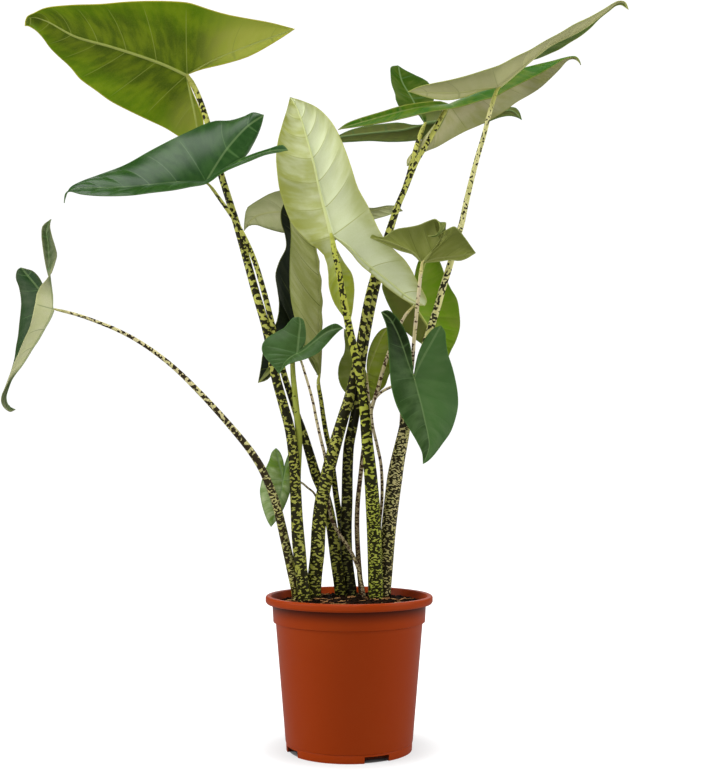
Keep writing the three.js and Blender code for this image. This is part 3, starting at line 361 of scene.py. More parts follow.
UPPER_RIGHT = Leaf(
    name="upper_right", blade=BladeFinish.DARK, stalk=StalkFinish.ZEBRA, attach=(449, 104, 60),
    tip=(581, 65, 28),
    rib=(
        (470, 95), (490, 88), (505, 79), (520, 69.5), (535, 65), (552, 61), (563, 58), (570, 56.5),
        (575.5, 56.5), (579, 59.5, 28),
    ),
    left=Half(
        lobe=(407, 166, 90), vein=((445, 115), (438, 128), (427, 142), (416, 155)),
        sinus=((443, 112), (437, 121), (430, 130, 88), (421, 141, 93), (413, 152), (407, 160)),
        margin=(
            (411, 165.5), (418, 156, 93), (428, 150.5), (437, 147), (450, 139.5), (465, 131.5),
            (480, 125, 92), (490, 120), (505, 111), (516, 102.5), (530, 94.5, 78), (540, 88), (550, 79),
            (560, 69), (566, 62, 40), (570, 59.5), (575, 59.5), (578.5, 62),
        ),
    ),
    right=Half(
        lobe=(338, 129.5, 12), vein=((430, 106), (408, 110), (385, 116), (360, 123)),
        sinus=((440, 101), (416, 103), (400, 106), (380, 112), (360, 118), (346, 123.5)),
        margin=(
            (350, 128), (370, 125), (390, 121.5), (410, 117, 32), (430, 112), (460, 107), (480, 101, 34),
            (495, 97), (506, 91), (520, 84, 30), (540, 74), (555, 65), (564, 59.5), (570, 58), (575, 57.5),
            (578.5, 60.5),
        ),
    ),
    stem=(
        (313.5, 598, 8), (315, 575, 7), (317.5, 552, 5), (318.5, 530, 4), (321, 505, 3), (326, 480, 3),
        (331, 460, 4), (336.5, 440, 5), (343, 418, 7), (349, 398, 8), (353.5, 380, 9), (357.5, 360, 10),
        (362.5, 330, 13), (368, 300, 17), (374, 277, 21), (380, 258, 25), (386, 240, 29), (392, 222, 33),
        (398, 205, 37), (404.5, 190, 41), (411, 174, 45), (417, 160, 49), (425, 147, 53), (433, 133, 56),
        (441, 118, 59),
    ),
    girth=(17, 16.5, 15, 9.5, 8.5, 7, 5.5),
)
TOP_RIGHT = Leaf(
    name="top_right", blade=BladeFinish.PALE, stalk=StalkFinish.ZEBRA, attach=(498, 87, -20),
    tip=(628.5, 9.5, -62),
    rib=(
        (508, 79), (518, 70.5), (528, 62), (539, 53), (550, 45), (562, 39), (575, 33), (587, 26), (600, 16),
        (611, 7.5), (618, 3), (624, 3.5, -60),
    ),
    left=Half(
        lobe=(445, 87, 12), vein=((480, 86), (462, 87)), sinus=((482, 83), (462, 84)),
        margin=(
            (465, 82, 14), (488, 77), (508, 69, 10), (522, 63), (530, 60.5), (538, 58.5), (550, 53.5, -10),
            (560, 49), (570, 42.5), (580, 36.5), (590, 28.5), (600, 18.5, -50), (609, 11.5), (616, 6),
            (621, 5), (626, 8),
        ),
    ),
    right=Half(
        lobe=(408, 91.5, -12), vein=((485, 88.5), (465, 92), (445, 93), (425, 92.5)),
        sinus=((491, 89), (480, 91.5), (466, 97), (452, 100), (440, 100), (425, 97), (414, 93.5)),
        margin=(
            (418, 87), (430, 84), (450, 80, -38), (466, 76), (485, 70), (500, 65, -50), (515, 57),
            (530, 50), (545, 41), (560, 33, -62), (575, 24), (590, 17), (605, 8.5), (613, 3.5, -64),
            (619, 1), (625, 2),
        ),
    ),
    stem=(
        (383.5, 598, 25), (385.5, 570, 25), (388.5, 530, 22), (392.5, 495, 20), (396.5, 467, 18),
        (403, 436, 15), (406, 421, 13), (410.5, 405, 12), (417, 378, 11), (424, 350, 10), (430, 330, 9),
        (437, 308, 8), (443, 287, 6), (449, 268, 5), (456, 243, 2), (462, 222, 0), (466, 203, -2),
        (472, 178, -5), (478, 155, -8), (484, 135, -11), (489, 115, -14), (494, 98, -17),
    ),
    girth=(16, 17, 18, 10.5, 8.5, 7.2, 6, 4.8),
)
HANGING_FRONT = Leaf(
    name="hanging_front", blade=BladeFinish.DARK, stalk=StalkFinish.ROSY, attach=(414, 378, -12),
    tip=(423, 464, -44), rib=((418, 393), (422, 408), (425, 422), (428, 435), (429, 447), (426, 457)),
    left=Half(
        lobe=(441, 325.5, -14), vein=((417.5, 369), (424, 356), (433, 340)),
        sinus=((414.5, 370), (416, 361.5), (419, 351), (423, 342), (428, 334), (434, 328)),
        margin=(
            (445, 332), (446, 342), (448, 354), (452, 366), (455, 378, -4), (457.5, 392), (458, 405, -6),
            (455, 420), (450, 433), (443, 443), (434, 455), (428, 461),
        ),
    ),
    right=Half(
        lobe=(381, 312, -20), vein=((409, 366), (403, 348), (396, 330), (389, 318)),
        sinus=(
            (413, 369), (412, 359), (411, 348), (408, 337), (403, 326), (397, 317.5), (391, 311.5),
            (386, 310),
        ),
        margin=(
            (383, 317), (386, 325), (388, 340), (389, 358, -30), (390, 375), (392, 390, -34), (396, 404),
            (402, 417), (410, 430), (417, 442), (422, 453),
        ),
    ),
    stem=(
        (377.5, 594, 41), (378, 555, 41), (379.5, 525, 40), (382, 497, 38), (381, 465, 28), (377, 445, 18),
        (372.5, 425, 9), (371.5, 412, 6), (373, 403, 3), (377, 396, 0), (383, 391, -2), (391, 387, -4),
        (401, 383, -5),
    ),
    girth=(4.4, 4.2, 4, 3.8, 3.6, 3.4, 3),
)
SMALL_RIGHT = Leaf(
    name="small_right", blade=BladeFinish.PALE, stalk=StalkFinish.ROSY, attach=(422, 263, -35),
    tip=(428, 236, -52),
    rib=(
        (430, 254), (437, 246), (442, 236), (445, 228, -36), (446, 222.5, -42), (444, 227, -49),
        (438, 234, -51),
    ),
    left=Half(
        lobe=(476, 253, -24), vein=((435, 258.5), (450, 257), (464, 255)),
        sinus=((431, 262.5), (441, 261.5), (451, 260), (459, 261), (466, 259)),
        margin=(
            (471, 246), (465, 237.5), (459, 230), (455, 226.5, -38), (448, 229, -47), (441, 233.5),
            (434, 237.5),
        ),
    ),
    right=Half(
        lobe=(370, 238, -48), vein=((413, 253), (400, 246.5), (385, 241)),
        sinus=((418, 260), (413, 255), (400, 251), (388, 246), (378, 241.5)),
        margin=(
            (372, 234.5), (378, 236.5), (384, 237), (391, 231.5), (398, 228.5), (408, 227, -38), (418, 225),
            (428, 221), (435, 219, -44), (439, 223, -50), (439.5, 230), (435, 235.5),
        ),
    ),
    stem=(
        (389, 594, 41), (389, 560, 41), (390, 520, 38), (393.5, 487, 36), (397, 460, 33), (400, 437, 28),
        (401.5, 420, 22), (402, 407, 15), (403.5, 396, 7), (407.5, 384, 1), (411.5, 370, -3),
        (413, 355, -8), (414, 340, -15), (415.5, 325, -23), (417.5, 305, -30), (419, 290, -34),
        (420.5, 275, -36),
    ),
    girth=(4.6, 4.6, 4.4, 4.4, 4.4, 4.4, 4),
)
BEHIND_MIDDLE = Leaf(
    name="behind_middle", blade=BladeFinish.PALE, stalk=StalkFinish.ROSY, attach=(367, 374, 34),
    tip=(366, 404, 37), rib=((367, 384), (367, 395)),
    left=Half(
        lobe=(344, 329, 44), vein=((360, 362), (353, 348), (348, 337)),
        sinus=((364, 365), (360, 351), (354, 338), (349, 331)),
        margin=(
            (344, 336), (345, 345), (344, 353), (340, 361, 42), (338, 370), (338.5, 379, 42), (342, 388),
            (348, 395), (357, 401),
        ),
    ),
    right=Half(
        lobe=(388, 327, 34), vein=((371, 362), (377, 347), (383, 334)),
        sinus=((366.5, 365), (368, 354), (371, 344), (376, 335), (382, 329)),
        margin=(
            (392, 336), (394, 350, 32), (392, 366), (388, 378, 33), (385, 386), (380, 391), (375, 397),
            (370, 401.5),
        ),
    ),
    stem=(
        (370, 594, 29), (369.5, 560, 29), (369, 520, 29), (370.5, 480, 29), (371, 440, 30),
        (369.5, 408, 29), (368, 392, 28), (367.2, 383, 29),
    ),
    girth=(4.6, 4.6, 4.4, 4.2, 4, 3.6, 3),
)
BEHIND_RIGHT = Leaf(
    name="behind_right", blade=BladeFinish.BACKLIT, stalk=StalkFinish.ROSY, attach=(414, 306, 27),
    tip=(447, 361, 24), rib=((421, 316), (428, 327), (438, 344)),
    left=Half(
        lobe=(383, 281, 44), vein=((405, 299), (394, 290)), sinus=((411, 298), (403, 289), (393, 283)),
        margin=(
            (382, 287), (385, 297), (390, 308), (397, 320, 44), (404, 330), (412, 337), (421, 343.5),
            (432, 352, 36), (441, 358),
        ),
    ),
    right=Half(
        lobe=(428, 251, 30), vein=((417, 292), (421, 277), (425, 263)),
        sinus=((413.5, 297), (414, 286), (415, 273), (418, 262), (423, 254)),
        margin=(
            (436, 255), (441, 264), (445, 275), (450, 287), (457, 299, 38), (459.5, 313), (460, 327, 38),
            (456, 341), (451, 351),
        ),
    ),
    stem=(
        (361, 592, 40), (358.5, 560, 37), (357, 530, 34), (357.5, 505, 30), (360, 480, 26),
        (363.5, 450, 22), (367.5, 425, 19), (372.5, 405, 17), (378, 388, 16), (383, 370, 15),
        (388, 355, 15), (395, 338, 15), (402, 321, 18), (408, 312, 22),
    ),
    girth=(6.4, 6.2, 5.8, 5.2, 4.8, 4.4, 3.4),
)
SMALL_LOW_LEFT = Leaf(
    name="small_low_left", blade=BladeFinish.DARK, stalk=StalkFinish.ROSY, attach=(283, 480, 12),
    tip=(271, 527, 4), rib=((281, 492), (278, 505), (274, 518)),
    left=Half(
        lobe=(290, 453, 14), vein=((285, 471), (288, 461)),
        sinus=((284, 473), (284, 467), (286, 460), (288, 455)),
        margin=(
            (292, 461), (292.5, 472), (292, 482, 12), (290, 492), (287, 501, 10), (283, 510), (278, 518.5),
        ),
    ),
    right=Half(
        lobe=(276, 448, 18), vein=((281, 470), (278, 459)),
        sinus=((284, 473), (284, 464), (281.5, 455), (279, 450.5)),
        margin=(
            (272, 452), (269, 461), (265, 470), (262, 480, 14), (260, 490), (261, 500, 11), (264, 512),
            (268, 522),
        ),
    ),
    stem=(
        (338, 594, 50), (336, 560, 50), (331, 540, 46), (325, 520, 40), (319, 505, 33), (314, 493, 29),
        (308, 488, 25), (302, 483, 22.5), (295, 480.5, 21.5), (289, 480, 18),
    ),
    girth=(3, 2.8, 2.6, 2.6, 2.5, 2.4, 2.2),
)
LEAVES = (
    HIGH_LEFT, DARK_LEFT, FAR_LEFT, CENTRE, BEHIND_CENTRE, UNFURLING, SMALL_FRONT_LEFT, BACK_RIGHT,
    UPPER_RIGHT, TOP_RIGHT, HANGING_FRONT, SMALL_RIGHT, BEHIND_MIDDLE, BEHIND_RIGHT, SMALL_LOW_LEFT,
)


@dataclass(frozen=True)
class Sight:
    """The place that the plant is drawn from, in millimetres and pixels."""

    eye: Vector = field(default_factory=lambda: Vector((1.5, -1361.6, 323.9)))
    tilt: float = 0.0631
    focal: float = 1184.2
    middle_column: float = 350.5
    middle_row: float = 386.5
    picture_height: int = 773

    def place(self, column: float, row: float, depth: float) -> Vector:
        """The point at a pixel and a depth.

        Args:
            column: the pixel's column.
            row: its row.
            depth: the point's y.

        Returns:
            The point in millimetres.
        """
        across = (column - self.middle_column) / self.focal
        up = (self.middle_row - row) / self.focal
        forward = math.cos(self.tilt) - up * math.sin(self.tilt)
        climb = math.sin(self.tilt) + up * math.cos(self.tilt)
        reach = (depth - self.eye.y) / forward
        return Vector((self.eye.x + reach * across, depth, self.eye.z + reach * climb))

    def place_all(self, points: list[Drawn]) -> list[Vector]:
        """Places drawn points.

        Args:
            points: the points; the first and last have a depth, and one without lies evenly between.

        Returns:
            The points in millimetres.
        """
        travelled = [0.0]
        for before, here in zip(points, points[1:]):
            travelled.append(travelled[-1] + math.hypot(here[0] - before[0], here[1] - before[1]))
        known = [i for i, point in enumerate(points) if len(point) == 3]
        placed = []
        for i, point in enumerate(points):
            after = next(k for k in known if k >= i)
            before = next(k for k in reversed(known) if k <= i)
            span = travelled[after] - travelled[before]
            share = (travelled[i] - travelled[before]) / span if span > 0 else 0.0
            depth = blend(points[before][2], points[after][2], share)
            placed.append(self.place(point[0], point[1], depth))
        return placed


SIGHT = Sight()


class Line:
    """A smooth line through points, measured along its length."""

    DIVISIONS = 200
    SHORTEST = 1e-4

    def __init__(self, points: list[Vector]) -> None:
        """Takes the points and measures the line.

        Args:
            points: what it passes through, in millimetres.
        """
        self.points = points
        self.reached = [0.0]
        before = self._at(0.0)
        for i in range(1, self.DIVISIONS + 1):
            here = self._at(i / self.DIVISIONS)
            self.reached.append(self.reached[-1] + (here - before).length)
            before = here

    @classmethod
    def drawn(cls, points: list[Drawn]) -> "Line":
        """The line through drawn points."""
        return cls(SIGHT.place_all(points))

    @property
    def length(self) -> float:
        """The line's length in millimetres."""
        return self.reached[-1]

    def _at(self, travel: float) -> Vector:
        """The point at an uneven travel from 0 to 1, on a centripetal spline.

        Args:
            travel: how far along, each span between two points counted alike.

        Returns:
            The point.
        """
        points = self.points
        last = len(points) - 1
        span = min(int(travel * last), last - 1)
        weight = travel * last - span
        near, far = points[span], points[span + 1]
        before = points[span - 1] if span > 0 else 2 * points[0] - points[1]
        after = points[span + 2] if span + 2 <= last else 2 * points[last] - points[last - 1]
        step, step_in, step_out = (
            max(leg.length**0.5, self.SHORTEST) for leg in (far - near, near - before, after - far)
        )
        middle = (far - near) / step
        leave = ((near - before) / step_in - (far - before) / (step_in + step) + middle) * step
        arrive = (middle - (after - near) / (step + step_out) + (after - far) / step_out) * step
        square, cube = weight**2, weight**3
        return (
            near * (2 * cube - 3 * square + 1)
            + leave * (cube - 2 * square + weight)
            + far * (3 * square - 2 * cube)
            + arrive * (cube - square)
        )

    def at(self, share: float) -> Vector:
        """The point at a share of the length.

        Args:
            share: how far along, by length.

        Returns:
            The point.
        """
        goal = min(max(share, 0.0), 1.0) * self.length
        low, high = 0, self.DIVISIONS
        while high - low > 1:
            middle = (low + high) // 2
            if self.reached[middle] <= goal:
                low = middle
            else:
                high = middle
        gap = self.reached[high] - self.reached[low]
        part = (goal - self.reached[low]) / gap if gap > 0 else 0.0
        return self._at((low + part) / self.DIVISIONS)


class NodeBench:
    """Adds nodes to one node tree and wires them."""

    def __init__(self, tree: bpy.types.NodeTree) -> None:
        """Takes the tree to work in."""
        self.tree = tree

    def add(self, kind: str, sockets: dict | None = None, **settings) -> bpy.types.Node:
        """Adds a node.

        Args:
            kind: the node's type.
            sockets: for an input's name or number, the value or the socket that feeds it.
            settings: the node's own settings.

        Returns:
            The node.
        """
        node = self.tree.nodes.new(kind)
        for name, value in settings.items():
            setattr(node, name, value)
        for key, value in (sockets or {}).items():
            if isinstance(value, Socket):
                self.tree.links.new(value, node.inputs[key])
            else:
                node.inputs[key].default_value = value
        return node

    def sum(self, operation: str, *terms: Term) -> Socket:
        """The result of one arithmetic step."""
        return self.add("ShaderNodeMath", dict(enumerate(terms)), operation=operation).outputs[0]

    def times(self, first: Term, second: Term) -> Socket:
        """The product of two values."""
        return self.sum("MULTIPLY", first, second)

    def less(self, first: Term, second: Term) -> Socket:
        """The first value less the second."""
        return self.sum("SUBTRACT", first, second)

    def rest(self, value: Term) -> Socket:
        """What a value leaves of 1."""
        return self.sum("SUBTRACT", 1.0, value)

    def scaled(self, value: Term, factor: Term, more: Term) -> Socket:
        """A value times a factor, and more."""
        return self.sum("MULTIPLY_ADD", value, factor, more)

    def fade(self, value: Term, low: Term, high: Term) -> Socket:
        """0 below low, 1 above high and smooth between."""
        sockets = {"Value": value, "From Min": low, "From Max": high}
        return self.add("ShaderNodeMapRange", sockets, interpolation_type="SMOOTHSTEP").outputs[0]

    def mix(self, share: Term, first: Tint, second: Tint) -> Socket:
        """Two colours mixed by a share."""
        return self.add("ShaderNodeMix", {0: share, 6: first, 7: second}, data_type="RGBA").outputs[2]

    def blend(self, share: Term, first: Term, second: Term) -> Socket:
        """Two values mixed by a share."""
        return self.add("ShaderNodeMix", {0: share, 2: first, 3: second}).outputs[0]

    def vector(self, x: Term, y: Term, z: Term) -> Socket:
        """A vector from three values."""
        return self.add("ShaderNodeCombineXYZ", {0: x, 1: y, 2: z}).outputs[0]

    def parts(self, attribute: str) -> list[Socket]:
        """The three values of a vector attribute of the mesh."""
        found = self.add("ShaderNodeAttribute", attribute_name=attribute).outputs["Vector"]
        return list(self.add("ShaderNodeSeparateXYZ", {0: found}).outputs)

    def cloud(self, place: Socket, scale: Term, detail: float) -> Socket:
        """Soft noise from 0 to 1 at a place."""
        sockets = {"Vector": place, "Scale": scale, "Detail": detail}
        return self.add("ShaderNodeTexNoise", sockets).outputs[0]


class Effect:
    """A shared node group that gives a colour, a roughness and a height."""

    def __init__(self, name: str, colours: Labels, amounts: Labels = ()) -> None:
        """Makes the empty group.

        Args:
            name: the group's name.
            colours: labels of its colour inputs.
            amounts: labels of its plain inputs.
        """
        self.tree = bpy.data.node_groups.new(name, "ShaderNodeTree")
        inputs = [("Color", label) for label in colours] + [("Float", label) for label in amounts]
        outputs = [("Color", "Colour"), ("Float", "Roughness"), ("Float", "Height")]
        for direction, sockets in (("INPUT", inputs), ("OUTPUT", outputs)):
            for kind, label in sockets:
                socket_type = f"NodeSocket{kind}"
                self.tree.interface.new_socket(name=label, in_out=direction, socket_type=socket_type)
        self.bench = NodeBench(self.tree)
        self.taken = self.bench.add("NodeGroupInput").outputs
        self.given = self.bench.add("NodeGroupOutput").inputs

    def give(self, label: str, socket: Socket) -> None:
        """Feeds one of the group's outputs."""
        self.tree.links.new(socket, self.given[label])


def finish_from(
    effect: Effect, name: str, values: dict, coat: float = 0.0, bump: float = 0.3, gleam: float = 0.3
) -> Material:
    """A material that shows an effect's Colour, Roughness and Height.

    Args:
        effect: the node group.
        name: the material's name.
        values: the group's input values.
        coat: weight of the clear gloss on top.
        bump: strength of the fine relief.
        gleam: how much the surface itself mirrors.

    Returns:
        The material.
    """
    material = bpy.data.materials.new(name)
    material.use_nodes = True
    bench = NodeBench(material.node_tree)
    shader = material.node_tree.nodes["Principled BSDF"]
    group = bench.add("ShaderNodeGroup", node_tree=effect.tree)
    for label, value in values.items():
        group.inputs[label].default_value = value
    sockets = {"Height": group.outputs["Height"], "Strength": bump, "Distance": MM}
    relief = bench.add("ShaderNodeBump", sockets)
    material.node_tree.links.new(group.outputs["Colour"], shader.inputs["Base Color"])
    material.node_tree.links.new(group.outputs["Roughness"], shader.inputs["Roughness"])
    material.node_tree.links.new(relief.outputs["Normal"], shader.inputs["Normal"])
    shader.inputs["Specular IOR Level"].default_value = gleam
    shader.inputs["Coat Weight"].default_value = coat
    shader.inputs["Coat Roughness"].default_value = COAT_ROUGHNESS
    return material


def leaf_effect() -> Effect:
    """The colouring of a blade: flesh, lobes, streaks, rib, veins, fine net and margin, on both sides.

    Returns:
        The node group.
    """
    colours = ("Upper left", "Upper right", "Lower left", "Lower right")
    colours += ("Lobe", "Streak", "Outer", "Rib", "Vein", "Edge")
    amounts = ("Seam", "Lobe left", "Lobe right", "Lobe at tip", "Streaks left", "Streaks right")
    amounts += ("Outer share", "Ribs", "Veins", "Edges", "Shine")
    net_scale, cloud_scale, streak_scale, grain_scale = 0.42, 0.03, 0.1, 0.9
    effect = Effect("Leaf colouring", colours, amounts)
    bench, taken = effect.bench, effect.taken
    from_rib, from_edge, side = bench.parts("blade_place")[:3]
    phase, pitch, across = bench.parts("blade_vein")[:3]
    run = bench.parts("relief")[2]
    right = bench.fade(bench.less(across, taken["Seam"]), -0.02, 0.02)
    across = bench.sum("ABSOLUTE", across)
    between = bench.sum("FRACT", bench.sum("ADD", phase, 0.5))
    nearest = bench.sum("ABSOLUTE", bench.less(between, 0.5))
    from_vein = bench.times(nearest, pitch)
    slender = bench.scaled(across, -0.45, 0.8)
    vein = bench.rest(bench.fade(from_vein, bench.times(slender, 0.2), slender))
    vein = bench.times(vein, bench.rest(bench.fade(across, 0.75, 0.98)))
    tip_share = bench.fade(phase, 0.0, 7.0)
    rib_width = bench.scaled(tip_share, -0.9, 1.5)
    rib = bench.rest(bench.fade(from_rib, bench.times(rib_width, 0.6), rib_width))
    edge = bench.rest(bench.fade(from_edge, 0.4, 1.8))
    edge = bench.times(edge, bench.rest(taken["Lobe at tip"]))
    # The lobe colour is the lobe's own tone on some blades and painted shade on others.
    lobe = bench.fade(bench.times(phase, -1.0), 0.05, 1.3)
    lobe = bench.times(lobe, bench.blend(right, taken["Lobe left"], taken["Lobe right"]))
    lobe = bench.sum("MAXIMUM", lobe, bench.times(bench.fade(phase, 3.0, 4.2), taken["Lobe at tip"]))
    mottled = bench.blend(right, taken["Streaks left"], taken["Streaks right"])
    place = bench.vector(from_rib, run, bench.times(side, 40.0))
    sockets = {"Vector": place, "Scale": net_scale, "Randomness": 0.9}
    cells = bench.add("ShaderNodeTexVoronoi", sockets, feature="DISTANCE_TO_EDGE")
    net = bench.rest(bench.fade(cells.outputs[0], 0.01, 0.09))
    cloud = bench.cloud(place, cloud_scale, 3.0)
    streak = bench.cloud(bench.vector(bench.times(from_rib, 0.35), run, side), streak_scale, 3.0)
    grain = bench.cloud(place, grain_scale, 4.0)
    # Streak patches are mottling and, on some blades, a painted sheen.
    patch = bench.fade(bench.scaled(streak, 0.6, bench.times(cloud, 0.6)), 0.5, 0.76)
    upper = bench.mix(right, taken["Upper left"], taken["Upper right"])
    lower = bench.mix(right, taken["Lower left"], taken["Lower right"])
    flesh = bench.mix(side, lower, upper)
    flesh = bench.mix(lobe, flesh, taken["Lobe"])
    outwards = bench.fade(bench.scaled(bench.less(cloud, 0.5), 0.9, across), 0.35, 1.0)
    outwards = bench.times(outwards, bench.fade(mottled, 0.0, 0.3))
    flesh = bench.mix(bench.times(outwards, taken["Outer share"]), flesh, taken["Outer"])
    flesh = bench.mix(bench.times(patch, mottled), flesh, taken["Streak"])
    flesh = bench.mix(bench.times(bench.times(net, 0.2), mottled), flesh, taken["Vein"])
    flesh = bench.mix(bench.times(lobe, 0.7), flesh, taken["Lobe"])
    speckle = bench.times(bench.fade(grain, 0.35, 0.75), bench.times(mottled, 0.16))
    flesh = bench.mix(speckle, flesh, taken["Edge"])
    veined = bench.mix(bench.times(vein, taken["Veins"]), flesh, taken["Vein"])
    ribbed = bench.mix(bench.times(rib, taken["Ribs"]), veined, taken["Rib"])
    effect.give("Colour", bench.mix(bench.times(edge, taken["Edges"]), ribbed, taken["Edge"]))
    effect.give("Roughness", bench.scaled(grain, 0.2, taken["Shine"]))
    effect.give("Height", bench.scaled(net, -0.35, bench.times(grain, 0.5)))
    return effect


def stalk_effect() -> Effect:
    """The marks of a stalk: dark dashes, finer and denser at the foot, that stop short of the blade.

    Returns:
        The node group.
    """
    colours = ("Ground", "Low ground", "Mark", "Top")
    effect = Effect("Stalk marks", colours, ("Mark size", "Limit", "Low limit", "Reach"))
    cloud_scale, fine_scale, grain_scale = 0.05, 0.8, 1.2
    slant, tooth_width, stretch = 0.8, 1.4, 0.42
    softness = 0.014
    bench, taken = effect.bench, effect.taken
    x, y, along = bench.parts("stalk_place")[:3]
    life = bench.parts("stalk_life")[0]
    place = bench.vector(x, y, along)
    tooth = bench.sum("PINGPONG", bench.scaled(y, slant, x), tooth_width)
    lift = bench.scaled(tooth, slant, along)
    around = [bench.times(axis, stretch) for axis in (x, y)]
    cloud = bench.cloud(place, cloud_scale, 2.0)
    fine = bench.cloud(place, fine_scale, 3.0)
    low = bench.rest(bench.fade(life, 0.05, taken["Reach"]))
    below = bench.fade(bench.scaled(bench.less(cloud, 0.5), 0.8, low), 0.45, 0.6)
    levels = []
    for height, narrowing, detail in ((along, 1.0, 0.2), (lift, 0.56, 0.6)):
        scale = bench.sum("DIVIDE", 1.0, bench.times(taken["Mark size"], narrowing))
        levels.append(bench.cloud(bench.vector(*around, height), scale, detail))
    scale = bench.sum("DIVIDE", 0.62, taken["Mark size"])
    sockets = {"Vector": bench.vector(*around, along), "Scale": scale}
    rows = bench.add("ShaderNodeTexVoronoi", sockets).outputs["Distance"]
    spots = bench.scaled(rows, -0.38, bench.scaled(levels[0], 0.55, 0.43))
    dashes = bench.blend(below, spots, levels[1])
    limit = bench.scaled(low, bench.less(taken["Low limit"], taken["Limit"]), taken["Limit"])
    limit = bench.scaled(bench.less(cloud, 0.5), 0.1, limit)
    limit = bench.scaled(bench.fade(life, 0.55, 0.95), 0.06, limit)
    level = bench.scaled(bench.less(fine, 0.5), 0.03, dashes)
    mark = bench.fade(bench.less(level, limit), -softness, softness)
    bare = bench.fade(life, 0.955, 0.985)
    mark = bench.times(mark, bench.rest(bare))
    ground = bench.mix(low, taken["Ground"], taken["Low ground"])
    ground = bench.mix(bench.times(bench.fade(cloud, 0.42, 0.62), 0.5), ground, taken["Top"])
    ground = bench.mix(bare, ground, taken["Top"])
    effect.give("Colour", bench.mix(bench.times(mark, 0.97), ground, taken["Mark"]))
    effect.give("Roughness", bench.scaled(fine, 0.2, 0.36))
    effect.give("Height", bench.scaled(mark, 0.3, bench.cloud(place, grain_scale, 3.0)))
    return effect


def plastic_effect() -> Effect:
    """Moulded plastic: faint clouding and a fine grain, and painted shade under the rim and inside the
    foot.

    Returns:
        The node group.
    """
    amounts = ("Painted shade from", "Rim bottom", "Foot top", "Foot inside")
    effect = Effect("Moulded plastic", ("Plastic", "Dust", "Painted shade"), amounts)
    cloud_scale, grain_scale = 14.0, 900.0
    bench, taken = effect.bench, effect.taken
    place = bench.add("ShaderNodeTexCoord").outputs["Object"]
    cloud = bench.cloud(place, cloud_scale, 4.0)
    grain = bench.cloud(place, grain_scale, 2.0)
    dust = bench.times(bench.fade(cloud, 0.5, 0.8), 0.1)
    plastic = bench.mix(dust, taken["Plastic"], taken["Dust"])
    x, y, height = bench.add("ShaderNodeSeparateXYZ", {0: place}).outputs[:3]
    radius = bench.sum("SQRT", bench.scaled(x, x, bench.times(y, y)))
    # Painted shade: the band just under the rim and the hollow inside the foot are mixed towards the shade
    # colour.
    under_rim = bench.sum("LESS_THAN", height, taken["Rim bottom"])
    under_rim = bench.times(under_rim, bench.fade(height, taken["Painted shade from"], taken["Rim bottom"]))
    below = bench.sum("LESS_THAN", height, taken["Foot top"])
    below = bench.times(below, bench.sum("LESS_THAN", radius, taken["Foot inside"]))
    painted_shade = bench.times(bench.sum("MAXIMUM", under_rim, below), 0.85)
    effect.give("Colour", bench.mix(painted_shade, plastic, taken["Painted shade"]))
    effect.give("Roughness", bench.scaled(cloud, 0.15, 0.36))
    effect.give("Height", grain)
    return effect


def earth_effect() -> Effect:
    """Potting mix or corm skin: dark and light fibres, matt.

    Returns:
        The node group.
    """
    effect = Effect("Earthy grain", ("Dark", "Light", "Fleck"))
    coarse_scale, fine_scale = 110.0, 480.0
    bench, taken = effect.bench, effect.taken
    place = bench.add("ShaderNodeTexCoord").outputs["Object"]
    coarse = bench.cloud(place, coarse_scale, 5.0)
    fine = bench.cloud(place, fine_scale, 4.0)
    colour = bench.mix(bench.fade(coarse, 0.35, 0.65), taken["Dark"], taken["Light"])
    effect.give("Colour", bench.mix(bench.fade(fine, 0.66, 0.78), colour, taken["Fleck"]))
    effect.give("Roughness", bench.scaled(fine, 0.2, 0.75))
    effect.give("Height", fine)
    return effect


def labelled(look: "BladeLook | StalkLook", kept_out: Labels = ()) -> dict[str, Linear | float]:
    """Values of a look for the sockets that its fields name.

    Args:
        look: the look.
        kept_out: fields that name no socket.

    Returns:
        The values by label.
    """
    names = [item.name for item in fields(look) if item.name not in kept_out]
    return {name.replace("_", " ").capitalize(): getattr(look, name) for name in names}


@dataclass(frozen=True)
class BladeLook:
    """The colours of a blade: each half from above and below, lobes, streaks, rib, veins and edge."""

    upper: tuple[Linear, Linear]
    lower: tuple[Linear, Linear]
    streak: Linear
    outer: Linear
    rib: Linear
    vein: Linear
    edge: Linear
    lobe: Linear = (0.0, 0.0, 0.0, 1.0)
    lobe_shares: tuple[float, float] = (0.0, 0.0)
    lobe_at_tip: float = 0.0
    seam: float = 0.0
    streaks: tuple[float, float] = (0.5, 0.5)
    outer_share: float = 0.4
    ribs: float = 0.9
    veins: float = 0.5
    edges: float = 0.6
    shine: float = 0.34
    gleam: float = 0.08
    coat: float = 0.02
    bump: float = 0.14

    def material(self, effect: Effect, name: str) -> Material:
        """The blade's material.

        Args:
            effect: the colouring of blades.
            name: the material's name.

        Returns:
            The material.
        """
        paired = {"Upper": self.upper, "Lower": self.lower}
        paired |= {"Lobe": self.lobe_shares, "Streaks": self.streaks}
        values = labelled(self, ("upper", "lower", "lobe_shares", "streaks", "gleam", "coat", "bump"))
        for label, (left, right) in paired.items():
            values |= {f"{label} left": left, f"{label} right": right}
        return finish_from(effect, name, values, coat=self.coat, bump=self.bump, gleam=self.gleam)


@dataclass(frozen=True)
class StalkLook:
    """The colours and marks of a stalk; a lower limit means more marks."""

    ground: Linear
    low_ground: Linear
    mark: Linear
    top: Linear
    mark_size: float = 3.6
    limit: float = 0.486
    low_limit: float = 0.435
    reach: float = 0.75

    def material(self, effect: Effect, name: str) -> Material:
        """The stalk's material."""
        return finish_from(effect, name, labelled(self), coat=0.01, bump=0.25, gleam=0.08)


def both(colour: Linear) -> tuple[Linear, Linear]:
    """The same colour on both halves."""
    return colour, colour


